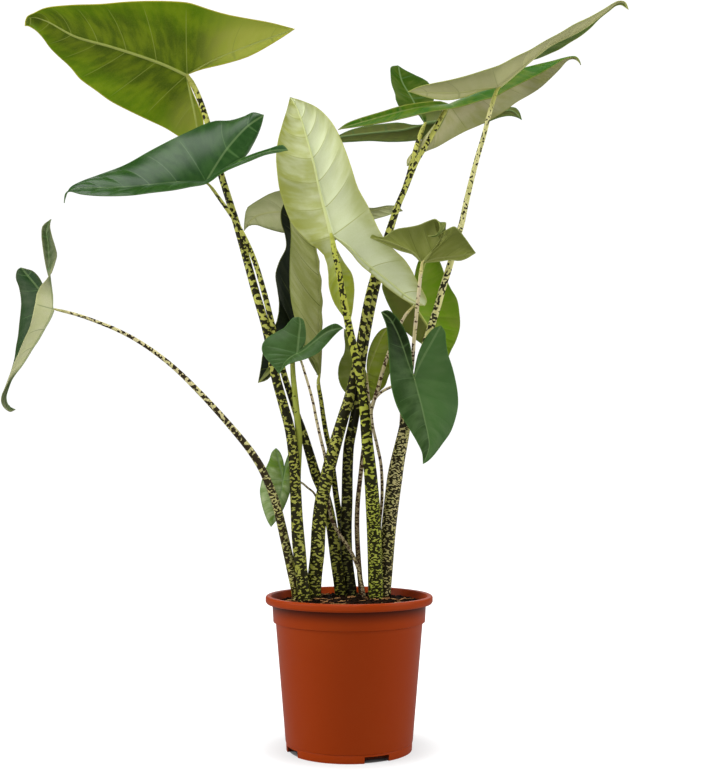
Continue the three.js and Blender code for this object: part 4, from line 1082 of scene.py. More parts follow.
DARK_GREEN = BladeLook(
    upper=both(paint(42, 72, 34)), lower=both(paint(108, 114, 62)), streak=paint(66, 98, 50),
    outer=paint(34, 62, 26), rib=paint(110, 134, 84), vein=paint(74, 104, 58), edge=paint(70, 104, 48),
    outer_share=0.3, ribs=0.7, veins=0.5,
)
BLADE_LOOKS: dict[str, BladeLook] = {
    "high_left": BladeLook(
        upper=both(paint(72, 96, 12)), lower=both(paint(72, 94, 12)), streak=paint(134, 154, 24),
        outer=paint(94, 132, 0), rib=paint(166, 176, 92), vein=paint(142, 154, 66),
        edge=paint(184, 176, 48), lobe=paint(172, 178, 76), lobe_shares=(0.95, 0.35), outer_share=0.85,
        veins=0.8, edges=0.8,
    ),
    "dark_left": replace(
        DARK_GREEN, upper=both(paint(28, 62, 20)), streak=paint(70, 106, 50), vein=paint(84, 118, 64),
        ribs=0.5, streaks=(0.3, 0.3), shine=0.14, gleam=0.15, coat=0.04,
    ),
    "far_left": replace(
        DARK_GREEN, upper=(paint(120, 126, 82), paint(26, 52, 18)),
        lower=(paint(196, 200, 150), paint(26, 52, 18)), lobe=paint(40, 62, 24), lobe_shares=(0.95, 0.0),
        lobe_at_tip=0.85, streak=paint(206, 204, 172), outer=paint(176, 178, 116),
        edge=paint(186, 180, 120), ribs=0.35, streaks=(0.4, 0.03), gleam=0.05,
    ),
    # On the centre blade the lobe colour is painted shade where the lobe curves away, and the pale streaks
    # are partly mottling and partly a painted sheen.
    "centre": BladeLook(
        upper=both(paint(118, 128, 44)), lower=(paint(194, 202, 158), paint(158, 164, 92)),
        streak=paint(206, 212, 178), outer=paint(134, 140, 44), rib=paint(190, 198, 134),
        vein=paint(142, 150, 74), edge=paint(168, 172, 84), lobe=paint(142, 154, 16),
        lobe_shares=(0.0, 0.95), streaks=(0.35, 0.45), outer_share=0.7, veins=0.8, gleam=0.2, coat=0.05,
    ),
    "behind_centre": BladeLook(
        upper=both(paint(92, 104, 46)), lower=both(paint(174, 178, 130)), streak=paint(190, 190, 150),
        outer=paint(112, 126, 54), rib=paint(170, 172, 116), vein=paint(140, 142, 92),
        edge=paint(112, 124, 56),
    ),
    # The near-black left half is the upper side inside the fold, darkened with painted shade.
    "unfurling": BladeLook(
        upper=(paint(6, 18, 1), paint(98, 108, 50)), lower=(paint(6, 18, 1), paint(146, 152, 84)),
        streak=paint(176, 178, 126), outer=paint(112, 122, 50), rib=paint(140, 146, 80),
        vein=paint(80, 88, 34), edge=paint(124, 132, 60), veins=0.8, seam=-0.35, streaks=(0.02, 0.6),
        outer_share=0.2,
    ),
    "small_front_left": replace(DARK_GREEN, upper=both(paint(46, 72, 24)), ribs=0.4, gleam=0.15),
    "back_right": replace(
        DARK_GREEN, upper=both(paint(48, 76, 2)), lower=both(paint(98, 104, 56)),
        streak=paint(104, 116, 50), gleam=0.04,
    ),
    "upper_right": replace(
        DARK_GREEN, upper=both(paint(40, 92, 2)), lower=both(paint(178, 174, 132)),
        streak=paint(136, 142, 36), outer=paint(64, 104, 12), rib=paint(120, 134, 70),
        vein=paint(108, 120, 62), edge=paint(136, 140, 60), outer_share=0.22, streaks=(0.45, 0.3),
    ),
    "top_right": BladeLook(
        upper=both(paint(66, 104, 30)), lower=(paint(70, 100, 26), paint(176, 176, 124)),
        streak=paint(190, 188, 146), outer=paint(136, 144, 82), rib=paint(176, 178, 118),
        vein=paint(128, 134, 84), edge=paint(160, 166, 84), lobe=paint(150, 152, 104),
        lobe_shares=(0.9, 0.0), streaks=(0.12, 0.3), edges=0.85, bump=0.02,
    ),
    "hanging_front": replace(
        DARK_GREEN, upper=(paint(62, 92, 46), paint(40, 62, 24)), lobe=paint(14, 28, 3),
        lobe_shares=(0.0, 0.95), streak=paint(80, 104, 62), vein=paint(70, 96, 54), ribs=0.45, gleam=0.05,
        coat=0.0,
    ),
    "small_right": BladeLook(
        upper=both(paint(70, 90, 30)), lower=both(paint(110, 118, 50)), streak=paint(134, 138, 76),
        outer=paint(88, 96, 42), rib=paint(128, 134, 72), vein=paint(78, 86, 34),
        edge=paint(142, 150, 80), edges=0.8,
    ),
    # The darker left half is painted shade and the brighter green right half is painted light shining
    # through the blade.
    "behind_middle": BladeLook(
        upper=(paint(76, 88, 22), paint(110, 126, 20)), lower=(paint(104, 116, 36), paint(128, 146, 28)),
        streak=paint(150, 156, 96), outer=paint(80, 98, 24), rib=paint(150, 158, 80),
        vein=paint(106, 118, 46), edge=paint(110, 122, 40),
    ),
    # The brighter green right half is painted light shining through the blade.
    "behind_right": BladeLook(
        upper=(paint(92, 102, 40), paint(84, 118, 10)), lower=(paint(114, 120, 58), paint(92, 126, 10)),
        streak=paint(122, 130, 54), outer=paint(84, 112, 20), rib=paint(156, 162, 84),
        vein=paint(108, 122, 44), edge=paint(110, 128, 40),
    ),
    # The pale streaks over the whole small low blade are a painted glare.
    "small_low_left": replace(
        DARK_GREEN, upper=both(paint(96, 124, 40)), streak=paint(172, 184, 140), outer=paint(84, 116, 28),
        streaks=(0.8, 0.8),
    ),
}
QUILTING = {
    "centre": 1.7,
    "behind_centre": 1.3,
    "unfurling": -0.5,
    "dark_left": 1.2,
    "top_right": 1.0,
    "high_left": 1.0,
}
FOLDS = {"unfurling": 1.6}
ZEBRA = StalkLook(
    ground=paint(180, 181, 88), low_ground=paint(146, 148, 60), mark=paint(14, 10, 1),
    top=paint(164, 166, 82),
)
ROSY = StalkLook(
    ground=paint(198, 184, 150), low_ground=paint(166, 150, 116), mark=paint(62, 40, 24),
    top=paint(182, 174, 110), mark_size=2.2, limit=0.55, low_limit=0.5,
)
SMOOTH = StalkLook(
    ground=paint(150, 158, 64), low_ground=paint(112, 120, 40), mark=paint(54, 62, 18),
    top=paint(160, 170, 80), limit=0.72, low_limit=0.5, reach=0.4,
)
STALK_LOOKS: dict[str, StalkLook] = {
    "zebra": ZEBRA,
    "rosy": ROSY,
    "smooth": SMOOTH,
    "centre": replace(
        ZEBRA, ground=paint(164, 168, 64), top=paint(168, 174, 76), low_ground=paint(150, 160, 56),
        mark_size=2.9,
    ),
    "top_right": replace(
        ZEBRA, ground=paint(208, 204, 142), low_ground=paint(186, 174, 118), mark_size=3.0, limit=0.54,
    ),
    "unfurling": replace(ZEBRA, ground=paint(150, 152, 56), mark_size=1.8),
    "far_left": replace(
        ZEBRA, ground=paint(206, 196, 146), mark=paint(34, 22, 8), top=paint(200, 196, 130),
        mark_size=3.0,
    ),
    # The darker low ground is painted shade at the foot of the middle clump.
    "back_right": replace(ZEBRA, low_ground=paint(84, 84, 48), low_limit=0.42),
    "behind_right": replace(ROSY, low_ground=paint(116, 92, 66), low_limit=0.46),
}


def stand(part: Mesh, name: str) -> Piece:
    """A new object in the scene, made from a mesh that is used up.

    Args:
        part: the mesh, in metres.
        name: the object's name.

    Returns:
        The object.
    """
    mesh = bpy.data.meshes.new(name)
    part.to_mesh(mesh)
    part.free()
    thing = bpy.data.objects.new(name, mesh)
    bpy.context.scene.collection.objects.link(thing)
    return thing


def resize(part: Mesh, factor: float) -> None:
    """Scales a whole mesh alike on all axes."""
    bmesh.ops.scale(part, vec=(factor, factor, factor), verts=part.verts)


def show(part: Mesh, name: str, material: Material, slot: str, *nodes: str) -> Piece:
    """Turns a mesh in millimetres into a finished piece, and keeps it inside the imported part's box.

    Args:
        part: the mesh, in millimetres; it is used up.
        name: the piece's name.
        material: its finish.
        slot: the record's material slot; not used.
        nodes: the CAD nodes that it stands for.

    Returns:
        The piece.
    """
    resize(part, MM)
    bmesh.ops.remove_doubles(part, verts=part.verts, dist=1e-6)
    bmesh.ops.recalc_face_normals(part, faces=part.faces)
    for vert in part.verts:
        vert.co = [min(max(value, low), high) for value, low, high in zip(vert.co, *CAD_BOX)]
    piece = stand(part, name)
    piece.data.shade_smooth()
    piece.data.materials.append(material)
    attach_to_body(piece, "root")
    if nodes:
        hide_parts(*nodes)
    LOG.info("%s: %d faces", name, len(piece.data.polygons))
    return piece


def spun(profile: list[tuple[float, float]], steps: int) -> Mesh:
    """A body turned about +Z.

    Args:
        profile: radius and height of each corner; it starts and ends on the axis.
        steps: sides of the round body.

    Returns:
        The body.
    """
    part = bmesh.new()
    corners = [part.verts.new((radius, 0.0, height)) for radius, height in profile]
    edges = [part.edges.new(pair) for pair in zip(corners, corners[1:])]
    turn = {"cent": (0, 0, 0), "axis": (0, 0, 1), "angle": math.tau}
    bmesh.ops.spin(part, geom=corners + edges, **turn, steps=steps, use_merge=True)
    bmesh.ops.remove_doubles(part, verts=part.verts, dist=1e-4)
    bmesh.ops.recalc_face_normals(part, faces=part.faces)
    return part


@dataclass
class Pot:
    """The nursery pot, in millimetres."""

    height: float = 172.4
    wall: float = 1.8
    rim_radius: float = 95.0
    rim_bottom: float = 163.4
    mouth_radius: float = 88.8
    collar_top: float = 87.4
    collar_low: float = 86.2
    collar_bottom: float = 142.8
    body_top: float = 83.5
    body_low: float = 71.9
    body_bottom: float = 9.7
    foot_radius: float = 70.9
    foot_width: float = 4.4
    underside: float = 3.0
    floor: float = 5.5
    pad_radius: float = 22.0
    notches: int = 4
    notch_width: float = 29.5
    notch_height: float = 7.0
    notch_depth: float = 14.0
    notch_turn: float = math.radians(-64.5)
    sides: int = 144
    easing: float = 0.45
    eased_angle: float = math.radians(14)
    sharp_angle: float = math.radians(40)

    @property
    def collar_floor(self) -> float:
        """Height of the step inside the wall."""
        return self.collar_bottom + self.wall

    def inside(self, height: float) -> float:
        """Inner radius of the wall at a height.

        Args:
            height: height over the ground.

        Returns:
            The radius.
        """
        if height >= self.collar_floor:
            share = (height - self.collar_bottom) / (self.rim_bottom - self.collar_bottom)
            return blend(self.collar_low, self.collar_top, share) - self.wall
        share = (height - self.body_bottom) / (self.collar_bottom - self.body_bottom)
        return blend(self.body_low, self.body_top, share) - self.wall

    def _shell(self) -> Mesh:
        """The turned pot without its notches, edges eased.

        Returns:
            The body, in millimetres.
        """
        foot_inside = self.foot_radius - self.foot_width
        part = spun(
            [
                (0, 0),
                (self.pad_radius, 0),
                (self.pad_radius + 2, self.underside),
                (foot_inside - 1, self.underside),
                (foot_inside, 0),
                (self.foot_radius, 0),
                (self.foot_radius + 0.4, self.body_bottom - 1.2),
                (self.body_low - 1, self.body_bottom - 0.6),
                (self.body_low, self.body_bottom),
                (self.body_top, self.collar_bottom),
                (self.collar_low, self.collar_bottom),
                (self.collar_top, self.rim_bottom),
                (self.rim_radius - 1.4, self.rim_bottom),
                (self.rim_radius, self.rim_bottom + 2.1),
                (self.rim_radius, self.height - 2),
                (self.rim_radius - 1.3, self.height - 0.4),
                (self.mouth_radius + 2, self.height),
                (self.mouth_radius, self.height - 1),
                (self.inside(self.rim_bottom), self.rim_bottom),
                (self.inside(self.collar_floor), self.collar_floor + 1),
                (self.inside(self.collar_bottom), self.collar_floor),
                (self.inside(self.body_bottom), self.body_bottom),
                (self.inside(self.floor), self.floor),
                (0, self.floor),
            ],
            self.sides,
        )
        sharp = [e for e in part.edges if e.is_manifold and e.calc_face_angle(0) > self.eased_angle]
        rounding = {"offset_type": "OFFSET", "segments": 2, "profile": 0.5, "affect": "EDGES"}
        bmesh.ops.bevel(part, geom=sharp, offset=self.easing, material=-1, **rounding)
        return part

    def _notch(self, turn: float) -> Piece:
        """A block that cuts one drainage notch, in metres.

        Args:
            turn: its angle round the pot.

        Returns:
            The block.
        """
        part = bmesh.new()
        bmesh.ops.create_cube(part, size=1.0)
        size = (self.notch_depth, self.notch_width, 2 * self.notch_height)
        bmesh.ops.scale(part, vec=size, verts=part.verts)
        bmesh.ops.translate(part, vec=(self.foot_radius, 0, 0), verts=part.verts)
        turned = Matrix.Rotation(turn, 3, "Z")
        bmesh.ops.rotate(part, cent=(0, 0, 0), matrix=turned, verts=part.verts)
        resize(part, MM)
        return stand(part, "notch")

    def build(self, effect: Effect) -> Piece:
        """Makes the pot.

        Args:
            effect: the plastic's colouring.

        Returns:
            The piece.
        """
        values = {
            "Plastic": paint(146, 50, 0),
            "Dust": paint(160, 76, 24),
            # Painted shade colour, for under the rim and inside the foot.
            "Painted shade": paint(44, 10, 1),
            "Painted shade from": (self.collar_bottom + 4) * MM,
            "Rim bottom": (self.rim_bottom + 0.2) * MM,
            "Foot top": self.notch_height * MM,
            "Foot inside": (self.foot_radius - 0.8) * MM,
        }
        material = finish_from(effect, "Terracotta plastic", values, coat=0.02, bump=0.05, gleam=0.1)
        turns = [self.notch_turn + i * math.tau / self.notches for i in range(self.notches)]
        blocks = [self._notch(turn) for turn in turns]
        shell = self._shell()
        resize(shell, MM)
        carved = carve(shell, blocks)
        resize(carved, 1 / MM)
        piece = show(carved, "pot_fine", material, "pot", "pot")
        piece.data.set_sharp_from_angle(angle=self.sharp_angle)
        return piece


def carve(part: Mesh, blocks: list[Piece]) -> Mesh:
    """Cuts blocks out of a body.

    Args:
        part: the body, in metres; it is used up.
        blocks: the blocks, in metres; they are removed.

    Returns:
        The body that is left, in metres.
    """
    body = stand(part, "uncut")
    for block in blocks:
        cut = body.modifiers.new("cut", "BOOLEAN")
        cut.operation = "DIFFERENCE"
        cut.solver = "EXACT"
        cut.object = block
    done = body.evaluated_get(bpy.context.evaluated_depsgraph_get()).to_mesh()
    left = bmesh.new()
    left.from_mesh(done)
    for thing in [body, *blocks]:
        bpy.data.objects.remove(thing)
    return left


@dataclass
class Soil:
    """The potting mix: a filling with a rough top, crumbs and straw, in millimetres."""

    pot: Pot
    gap: float = SEAT_GAP
    edge: float = 163.5
    mound: float = 4.0
    crumb: float = 0.9
    sides: int = 120
    rings: int = 40
    crumbs: int = 900
    crumb_sizes: tuple[float, float] = (0.9, 2.6)
    crumb_margin: float = 4.5
    straws: int = 70
    straw_lengths: tuple[float, float] = (6, 20)
    straw_widths: tuple[float, float] = (0.6, 1.2)
    straw_margin: float = 16
    straw_lift: float = 1.2
    seed: int = 7

    def height(self, x: float, y: float) -> float:
        """Height of the surface.

        Args:
            x: place across.
            y: place in depth.

        Returns:
            The height over the ground.
        """
        share = min(math.hypot(x, y) / self.pot.inside(self.edge), 1.0)
        swell = math.sin(0.21 * x + 1.3) * math.cos(0.17 * y) + math.sin(0.12 * x - 0.26 * y)
        rough = 1.1 * noise.noise(Vector((0.16 * x, 0.16 * y, 3.0)))
        rough += 0.7 * noise.noise(Vector((0.5 * x, 0.5 * y, 0)))
        level = self.edge + self.mound * (1 - share * share)
        return level + (self.crumb * swell + rough) * (1 - share**8)

    def _body(self) -> Mesh:
        """The filling.

        Returns:
            The body, in millimetres.
        """
        pot = self.pot
        outer = pot.inside(self.edge) - self.gap
        below_collar = pot.inside(pot.collar_bottom) - 2 * self.gap
        profile = [
            (0, pot.floor + self.gap),
            (pot.inside(pot.floor) - self.gap, pot.floor + self.gap),
            (pot.inside(pot.body_bottom) - self.gap, pot.body_bottom),
            (below_collar, pot.collar_bottom),
            (below_collar, pot.collar_floor + 2),
            (outer, self.edge - 2),
            (outer, self.edge),
        ]
        profile += [(outer * (1 - i / self.rings), self.edge + 1) for i in range(1, self.rings + 1)]
        part = spun(profile, self.sides)
        for vert in part.verts:
            if vert.co.z > self.edge + 0.5:
                vert.co.z = self.height(vert.co.x, vert.co.y)
        return part

    def _spot(self, draw: random.Random, margin: float) -> tuple[float, float]:
        """A random place on the surface, a margin away from the pot.

        Args:
            draw: the source of chance.
            margin: the margin.

        Returns:
            The place, x and y.
        """
        reach = (self.pot.inside(self.edge) - margin) * math.sqrt(draw.random())
        turn = draw.uniform(0, math.tau)
        return reach * math.cos(turn), reach * math.sin(turn)

    def _add_crumbs(self, part: Mesh) -> None:
        """Strews crumbs over the surface.

        Args:
            part: the mesh that they are added to, in millimetres.
        """
        draw = random.Random(self.seed)
        for _ in range(self.crumbs):
            x, y = self._spot(draw, self.crumb_margin)
            size = draw.uniform(*self.crumb_sizes)
            lump = bmesh.ops.create_icosphere(part, subdivisions=1, radius=size)["verts"]
            for vert in lump:
                vert.co *= 1 + 0.35 * noise.noise(vert.co + Vector((x, y, 0)))
            squash = Matrix.Diagonal((1.0, draw.uniform(0.5, 0.9), draw.uniform(0.4, 0.8)))
            turned = Matrix.Rotation(draw.uniform(0, math.tau), 3, "Z")
            tilted = Matrix.Rotation(draw.uniform(-0.5, 0.5), 3, "X")
            bmesh.ops.transform(part, matrix=(turned @ tilted @ squash).to_4x4(), verts=lump)
            bmesh.ops.translate(part, vec=(x, y, self.height(x, y) + 0.25 * size), verts=lump)

    def _add_straws(self, part: Mesh) -> None:
        """Lays straw-like bits on the surface.

        Args:
            part: the mesh that they are added to, in millimetres.
        """
        draw = random.Random(self.seed + 1)
        for _ in range(self.straws):
            x, y = self._spot(draw, self.straw_margin)
            length, width = draw.uniform(*self.straw_lengths), draw.uniform(*self.straw_widths)
            bar = bmesh.ops.create_cube(part, size=1.0)["verts"]
            bmesh.ops.scale(part, vec=(length, width, 0.6 * width), verts=bar)
            turned = Matrix.Rotation(draw.uniform(0, math.tau), 3, "Z")
            tilted = Matrix.Rotation(draw.uniform(-0.2, 0.2), 3, "Y")
            bmesh.ops.rotate(part, cent=(0, 0, 0), matrix=turned @ tilted, verts=bar)
            bmesh.ops.translate(part, vec=(x, y, self.height(x, y) + self.straw_lift), verts=bar)

    def build(self, effect: Effect) -> None:
        """Makes the filling, and the crumbs and straw on it.

        Args:
            effect: the colouring of earth.
        """
        dark = {"Dark": paint(12, 7, 4), "Light": paint(36, 22, 12), "Fleck": paint(104, 68, 36)}
        mix = finish_from(effect, "Potting mix", dark, bump=0.9, gleam=0.03)
        dry = {"Dark": paint(128, 84, 44), "Light": paint(190, 140, 84), "Fleck": paint(220, 180, 120)}
        straw = finish_from(effect, "Dry straw", dry, bump=0.6)
        show(self._body(), "soil_fine", mix, "soil", "soil")
        strewn = (("crumbs", self._add_crumbs, mix), ("straw", self._add_straws, straw))
        for name, add, finish in strewn:
            part = bmesh.new()
            add(part)
            show(part, f"soil_{name}", finish, "soil")


@dataclass
class Corm:
    """A swollen stem base, hidden in the soil, in millimetres."""

    side: str
    x: float
    y: float
    radius: float
    top: float = CORM_TOP
    height: float = 44.0
    sides: int = 48

    def build(self, material: Material) -> None:
        """Makes the corm.

        Args:
            material: the finish of its skin.
        """
        bottom = self.top - self.height
        part = spun(
            [
                (0, bottom),
                (0.45 * self.radius, bottom + 0.04 * self.height),
                (0.85 * self.radius, bottom + 0.3 * self.height),
                (self.radius, bottom + 0.65 * self.height),
                (self.radius, self.top - 0.08 * self.height),
                (self.radius - 1.5, self.top),
                (0, self.top),
            ],
            self.sides,
        )
        bmesh.ops.translate(part, vec=(self.x, self.y, 0), verts=part.verts)
        show(part, f"corm_{self.side}_fine", material, "corm", f"corm_{self.side}")


@dataclass
class Petiole:
    """A leaf's stalk, from the corm to the blade's neck, in millimetres."""

    leaf: Leaf
    corm_top: float = CORM_TOP
    gap: float = SEAT_GAP
    neck_length: float = NECK_LENGTH
    neck_gap: float = 0.4
    sides: int = 20
    step_length: float = 4.0

    def line(self) -> Line:
        """The middle line, from its seat to the blade.

        Returns:
            The line.
        """
        points = SIGHT.place_all([*self.leaf.stem, self.leaf.attach])
        foot = Vector((points[0].x, points[0].y, self.corm_top + self.gap))
        buried = Vector((points[0].x, points[0].y, (self.corm_top + points[0].z) / 2))
        return Line([foot, buried, *points])

    def girth(self, share: float) -> float:
        """Diameter at a share of the length.

        Args:
            share: how far along, by length.

        Returns:
            The diameter.
        """
        given = self.leaf.girth
        at = min(max(share, 0.0), 1.0) * (len(given) - 1)
        below = min(int(at), len(given) - 2)
        return blend(given[below], given[below + 1], at - below)

    def build(self, material: Material) -> None:
        """Makes the stalk.

        Args:
            material: the stalk's finish.
        """
        line = self.line()
        end = 1 - (self.neck_length + self.neck_gap) / line.length
        part = swept(line, end, lambda share: self.girth(share) / 2, self.sides, self.step_length)
        name = f"petiole_{self.leaf.name}"
        show(part, f"{name}_fine", material, self.leaf.stalk.value, name)


def swept(
    line: Line, end: float, radius: Callable[[float], float], sides: int, step_length: float
) -> Mesh:
    """A round bar along a line.

    Args:
        line: its middle line, which it follows from the start.
        end: share of the line where it ends.
        radius: gives its radius for a share.
        sides: sides of its round section.
        step_length: distance between its rings.

    Returns:
        The bar, closed, with the attributes stalk_place and stalk_life.
    """
    steps = max(4, round(line.length * end / step_length))
    shares = [blend(0.0, end, i / steps) for i in range(steps + 1)]
    centres = [line.at(share) for share in shares]
    part = bmesh.new()
    place = part.verts.layers.float_vector.new("stalk_place")
    life = part.verts.layers.float_vector.new("stalk_life")
    heading = (centres[1] - centres[0]).normalized()
    aside = heading.orthogonal().normalized()
    wide = max(radius(share) for share in shares)

    def lay(ring: list[Vert], i: int) -> None:
        """Moves a ring to its place on the line.

        Args:
            ring: the ring's corners.
            i: its number from the start.
        """
        nonlocal heading, aside
        ahead = (centres[min(i + 1, steps)] - centres[max(i - 1, 0)]).normalized()
        aside = heading.rotation_difference(ahead) @ aside
        heading = ahead
        over = heading.cross(aside)
        for k, vert in enumerate(ring):
            turn = math.tau * k / sides
            vert.co = centres[i] + radius(shares[i]) * (math.cos(turn) * aside + math.sin(turn) * over)
            vert[place] = (wide * math.cos(turn), wide * math.sin(turn), shares[i] * line.length)
            vert[life] = (shares[i], abs(heading.z), 0)

    ring = bmesh.ops.create_circle(part, cap_ends=False, segments=sides, radius=1.0)["verts"]
    lay(ring, 0)
    first = edges = list(part.edges)
    for i in range(1, steps + 1):
        grown = bmesh.ops.extrude_edge_only(part, edges=edges)["geom"]
        edges = [item for item in grown if isinstance(item, bmesh.types.BMEdge)]
        onward = {}
        for vert in ring:
            for edge in vert.link_edges:
                other = edge.other_vert(vert)
                if other in grown:
                    onward[vert] = other
        ring = [onward[vert] for vert in ring]
        edges = [edge for edge in edges if edge.verts[0] in ring and edge.verts[1] in ring]
        lay(ring, i)
    for loop in (first, edges):
        bmesh.ops.contextual_create(part, geom=loop)
    return part


@dataclass
class Blade:
    """A leaf's blade with its veins and the plain top of its stalk, in millimetres."""

    MEASURES = ("blade_place", "blade_vein", "relief")
    NEAR_VEIN = (0.0, 0.07, 0.17, 0.32, 0.5, 0.68, 0.83, 0.93)
    leaf: Leaf
    thickness: float = 0.7
    arch: float = 0.06
    basal_veins: int = 3
    rib_veins: int = 7
    columns: int = 16
    strip_columns: int = 6
    strip_pitch: float = 12.0
    crowding: float = 1.4
    joined: float = 0.02
    neck_length: float = NECK_LENGTH
    neck_sides: int = 16
    neck_step: float = 1.0
    neck_run: float = 0.8
    neck_taper: float = 0.6
    neck_lifts: tuple[float, float] = (0.6, 0.3)
    basal_girth: tuple[float, float] = (0.55, 0.18)
    rib_girth: tuple[float, float] = (0.85, 0.16)
    rib_height: float = 0.28
    vein_height: float = 0.6
    vein_width: float = 0.09
    vein_sweep: float = 0.45
    veined: tuple[float, float] = (0.02, 0.98)
    quilting: float = 0.6
    quilted_width: float = 28.0
    folds: float = 0.0
    folds_per_vein: float = 1.5
    folded: tuple[float, float] = (0.8, 5.2)

    def _half(self, part: Mesh, half: Half, left: bool) -> None:
        """Adds one half of the middle sheet.

        Args:
            part: the sheet.
            half: the half as drawn.
            left: whether this is the left half.
        """
        leaf = self.leaf
        basal = Line.drawn([half.lobe, *reversed(half.vein), leaf.attach])
        midrib = Line.drawn([leaf.attach, *leaf.rib, leaf.tip])
        margin = Line.drawn([half.lobe, *half.margin, leaf.tip])
        sinus = Line.drawn([half.lobe, *reversed(half.sinus), leaf.attach])
        shoulder = half.shoulder or basal.length / (basal.length + midrib.length)

        def inner(travel: float) -> Vector:
            """The spine: the basal vein before the stalk and the midrib after it."""
            if travel < 0:
                return basal.at(self._even(1 + travel, True))
            return midrib.at(self._even(travel, False))

        def outer(travel: float) -> Vector:
            """The margin across from the spine."""
            if travel < 0:
                return margin.at(shoulder * self._even(1 + travel, True))
            return margin.at(blend(shoulder, 1.0, self._even(travel, False)))

        def hollow(travel: float) -> Vector:
            """The sinus across from the basal vein."""
            return sinus.at(self._even(1 + travel, True))

        travels = self._travels()
        self._lamina(part, travels, inner, outer, left)
        self._strip(part, [travel for travel in travels if travel <= 0], inner, hollow, left)

    def _even(self, share: float, near_start: bool) -> float:
        """Share of a line's length for a share of its rows."""
        share = min(max(share, 0.0), 1.0)
        return share**self.crowding if near_start else 1 - (1 - share) ** self.crowding

    def _travels(self) -> list[float]:
        """Places of the rows: -1 at the lobe's end, 0 at the stalk and 1 at the tip, close at the veins.

        Returns:
            The places.
        """
        near = self.NEAR_VEIN
        basal = [(i + part) / self.basal_veins - 1 for i in range(self.basal_veins) for part in near]
        ribbed = [(i + part) / self.rib_veins for i in range(self.rib_veins) for part in near]
        return [*basal, *ribbed, 1.0]

    def _columns(self, width: float, rib: float) -> list[float]:
        """Shares of a row's width at its columns, close together on the rib and at the edge.

        Args:
            width: the row's width.
            rib: half width of the rib there.

        Returns:
            The shares.
        """
        near = min(rib, 0.3 * width)
        close = [0.0, 0.45 * near, 0.8 * near, near, 1.3 * near]
        last = width - min(0.8, 0.05 * width)
        count = self.columns - len(close)
        spread = [blend(close[-1], last, (i / count)) for i in range(1, count + 1)]
        return [distance / width if width > 1e-6 else 0.0 for distance in [*close, *spread, width]]

    def _rib(self, travel: float) -> float:
        """Half width of the raised rib at a place.

        Args:
            travel: the place of the row.

        Returns:
            The half width.
        """
        base = 0.5 * self.leaf.girth[-1]
        if travel < 0:
            return base * blend(*self.basal_girth, -travel)
        return base * blend(*self.rib_girth, travel**0.8)

    def _lamina(self, part: Mesh, travels: list[float], inner: Path, outer: Path, left: bool) -> None:
        """Adds the lamina between the spine and the margin.

        Args:
            part: the sheet.
            travels: places of the rows.
            inner: the spine at a travel.
            outer: the margin at a travel.
            left: whether this is the left half.
        """
        grid = self._grid(part, self.columns, len(travels) - 1, left)
        place, vein, relief = (part.verts.layers.float_vector[name] for name in self.MEASURES)
        sign = 1 if left else -1
        run = 0.0
        for row, travel in enumerate(travels):
            run += (inner(travel) - inner(travels[max(row - 1, 0)])).length
            width = (outer(travel) - inner(travel)).length
            rib = self._rib(travel)
            phase = travel * (self.basal_veins if travel < 0 else self.rib_veins)
            ahead = inner(min(travel + 0.02, 1.0)) - inner(max(travel - 0.02, -1.0))
            beside = travel + 1 / self.rib_veins if travel >= 0 else travel - 1 / self.basal_veins
            beside = min(max(beside, -1.0), 1.0)
            pitch = max((inner(beside) - inner(travel)).length, 1.0)
            for column, share in enumerate(self._columns(width, rib)):
                bent = self._bent(travel, share)
                start = inner(bent)
                across = outer(bent) - start
                up = sign * ahead.cross(across)
                rise = 4 * self.arch * share * (1 - share) * across.length
                arched = up.normalized() * rise if up.length > 1e-6 else Vector()
                vert = grid[row][column]
                vert.co = start + across * share + arched
                distance = share * width
                vert[place] = (distance, width - distance, 1.0)
                vert[vein] = (phase, pitch, -share if left else share)
                swell = self._swell(phase, share, width) + self._fold(phase, share, left)
                vert[relief] = (self._ridge(distance, rib, phase, share, travel), swell, run)

    def _bent(self, travel: float, share: float) -> float:
        """Place of a vein's row at a share of its way out: veins bend towards the tip or the lobe."""
        return travel + self.vein_sweep * travel * (1 - abs(travel)) * share**1.5

    def _ridge(self, distance: float, rib: float, phase: float, share: float, travel: float) -> float:
        """How far the rib and the veins stand out of the underside.

        Args:
            distance: distance from the spine.
            rib: half width of the rib.
            phase: place of the row, counted in veins.
            share: share of the row's width.
            travel: place of the row.

        Returns:
            The height.
        """
        ridge = math.sqrt(max(1 - (distance / max(rib, 0.1)) ** 2, 0.0)) * rib * (1 + self.rib_height)
        if not self.veined[0] < abs(travel) < self.veined[1]:
            return ridge
        away = abs(phase - round(phase))
        lateral = self.vein_height * math.exp(-((away / self.vein_width) ** 2)) * (1 - share) ** 0.7
        return max(ridge, lateral)

    def _swell(self, phase: float, share: float, width: float) -> float:
        """How far the lamina swells between two veins; a narrow row stays flat.

        Args:
            phase: place of the row, counted in veins.
            share: share of the row's width.
            width: the row's width.

        Returns:
            The height.
        """
        away = abs(phase - round(phase))
        full = self.quilting * min(width / self.quilted_width, 1.0)
        return full * math.sin(math.pi * away) * math.sin(math.pi * min(share, 1.0))

    def _fold(self, phase: float, share: float, left: bool) -> float:
        """How far cross folds beside the rib push the lamina down; on the left they end near the rib.

        Args:
            phase: place of the row, counted in veins.
            share: share of the row's width.
            left: whether this is the left half.

        Returns:
            The height, below zero.
        """
        start, end = self.folded
        if not start < phase < end:
            return 0.0
        middle = math.sin(math.pi * (phase - start) / (end - start))
        reach = max(1 - (8 if left else 1) * share, 0.0)
        wave = 0.5 + 0.5 * math.sin(math.tau * self.folds_per_vein * phase)
        return -self.folds * middle**0.5 * reach**0.7 * wave

